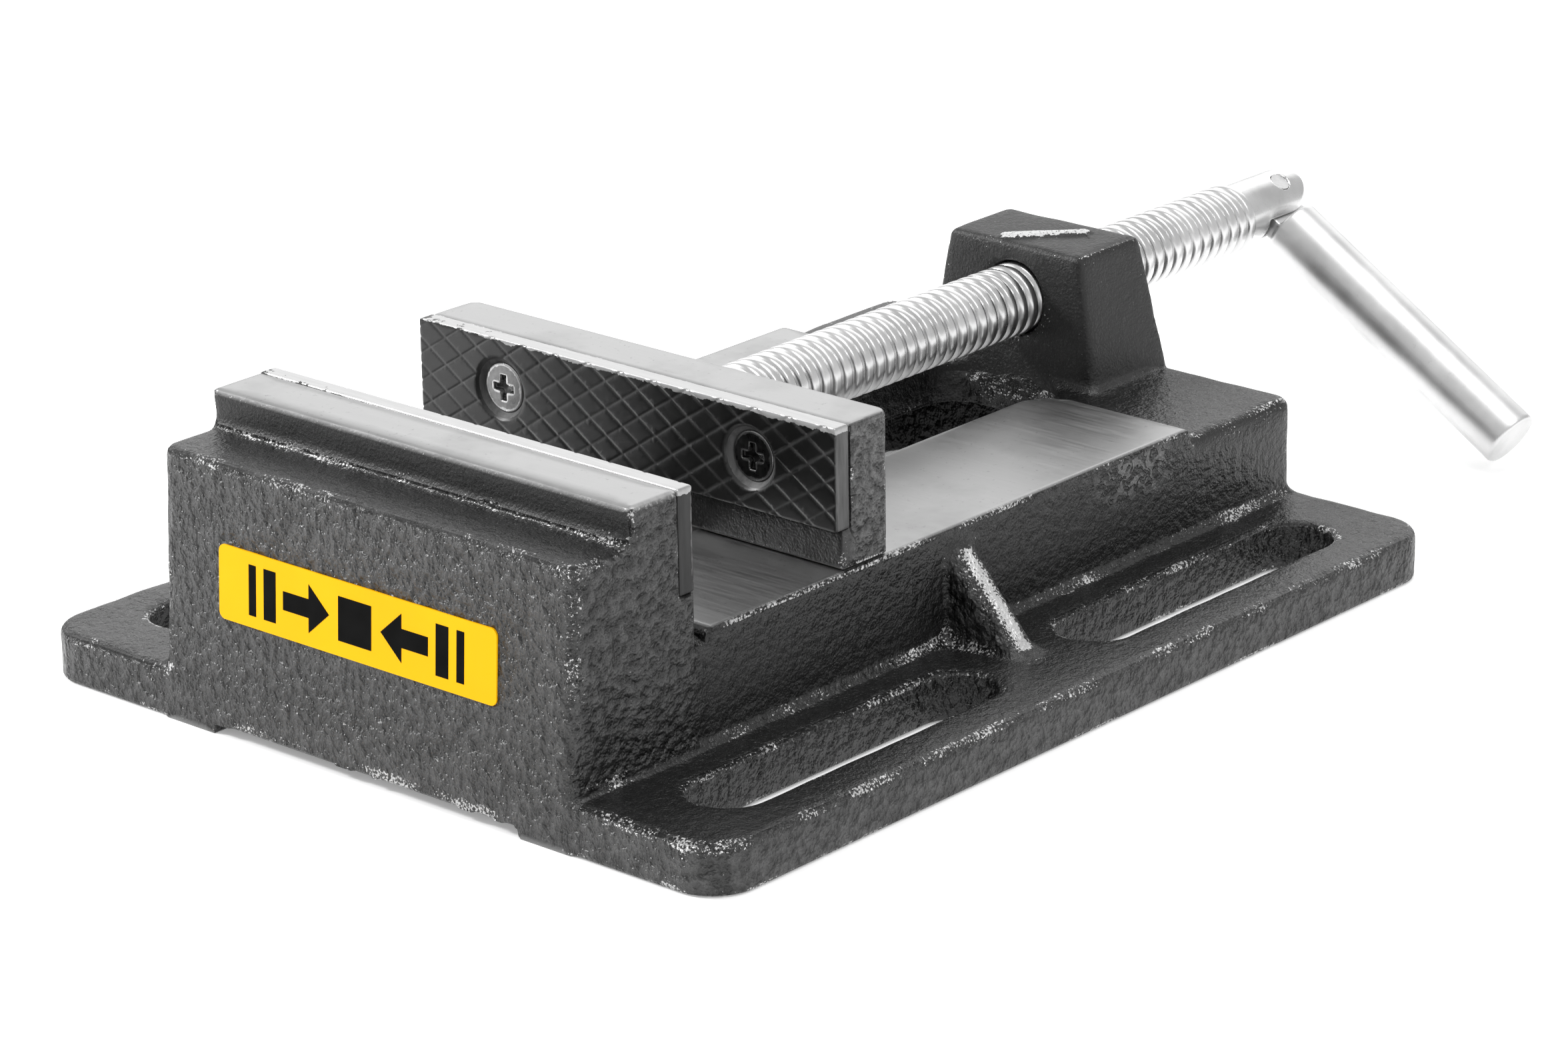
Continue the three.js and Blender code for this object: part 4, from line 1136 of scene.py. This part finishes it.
def build_camera():
    right, up, back = view_axes(CAMERA_AZIMUTH, CAMERA_ELEVATION)
    c, s = math.cos(CAMERA_ROLL), math.sin(CAMERA_ROLL)
    rolled_right = right * c + up * s
    rolled_up = up * c - right * s
    data = bpy.data.cameras.new("camera")
    data.lens = CAMERA_LENS
    data.sensor_width = SENSOR_WIDTH
    data.clip_start = 0.05
    data.clip_end = 50
    camera = bpy.data.objects.new("camera", data)
    turn = Matrix((rolled_right, rolled_up, back)).transposed().to_4x4()
    camera.matrix_world = Matrix.Translation(CAMERA_AIM + back * CAMERA_DISTANCE) @ turn
    bpy.context.scene.collection.objects.link(camera)
    bpy.context.scene.camera = camera


def soft_light(name, azimuth, elevation, distance, size, power):
    """An area light that faces the origin; angles in degrees, the rest in metres and watts."""
    _, _, back = view_axes(math.radians(azimuth), math.radians(elevation))
    data = bpy.data.lights.new(name, "AREA")
    data.shape = "RECTANGLE"
    data.size, data.size_y = size
    data.energy = power
    light = bpy.data.objects.new(name, data)
    light.location = back * distance
    light.rotation_euler = back.to_track_quat("Z", "Y").to_euler()
    bpy.context.scene.collection.objects.link(light)


def build_studio():
    soft_light("light_top", 20, 80, 1.6, (1.0, 0.8), 9)
    soft_light("light_rear", 125, 26, 1.6, (1.8, 0.9), 6.4)
    soft_light("light_left", -150, 34, 1.4, (0.25, 0.25), 13)
    soft_light("light_near", 5, 45, 1.5, (0.4, 0.4), 3)
    world = bpy.data.worlds.new("studio")
    world.use_nodes = True
    background = world.node_tree.nodes["Background"]
    background.inputs["Color"].default_value = grey(1.0)
    background.inputs["Strength"].default_value = WORLD_STRENGTH
    bpy.context.scene.world = world
    bpy.context.scene.view_settings.view_transform = "Standard"


def build_floor():
    work = bmesh.new()
    bmesh.ops.create_grid(work, x_segments=8, y_segments=8, size=FLOOR_SIZE)
    mesh = bpy.data.meshes.new("floor")
    work.to_mesh(mesh)
    work.free()
    floor = bpy.data.objects.new("floor", mesh)
    bpy.context.scene.collection.objects.link(floor)
    s = Shader("pale_floor")
    tone = s.noise(3, 2)
    s.surface.inputs["Emission Color"].default_value = grey(1.0)
    s.surface.inputs["Emission Strength"].default_value = FLOOR_GLOW
    mesh.materials.append(s.finish(s.mix(tone, 0.93, 0.95), 0.9, 0.0))


def build_plates():
    fixed = (FIXED_PLATE_LOW, FIXED_PLATE_HIGH, 1)
    moving = (MOVING_PLATE_LOW, MOVING_PLATE_HIGH, -1)
    build_plate("vise_fixed_plate", *fixed, "base", "fixed_jaw_plate", FIXED_END_SHADE)
    build_plate("vise_moving_plate", *moving, "slide", "moving_jaw_plate", MOVING_END_SHADE)


def build_plate_screws():
    """Two on each plate; only the moving plate's left one is bright, and the other three are blacked and
    darkened as painted shade.
    """
    for word, side in (("right", -1), ("left", 1)):
        y = side * HEAD_Y
        bright = side > 0
        build_plate_screw("fixed_plate_screw_" + word, "base", FIXED_PLATE_HIGH.x, 1, y, 1.0)
        build_plate_screw("moving_plate_screw_" + word, "slide", MOVING_PLATE_LOW.x, -1, y, 1.0 - bright)


build_camera()
build_studio()
build_floor()
build_base()
build_moving_jaw()
build_plates()
build_plate_screws()
build_lead_screw()
build_lever()
build_label()
finish_kept_nodes()
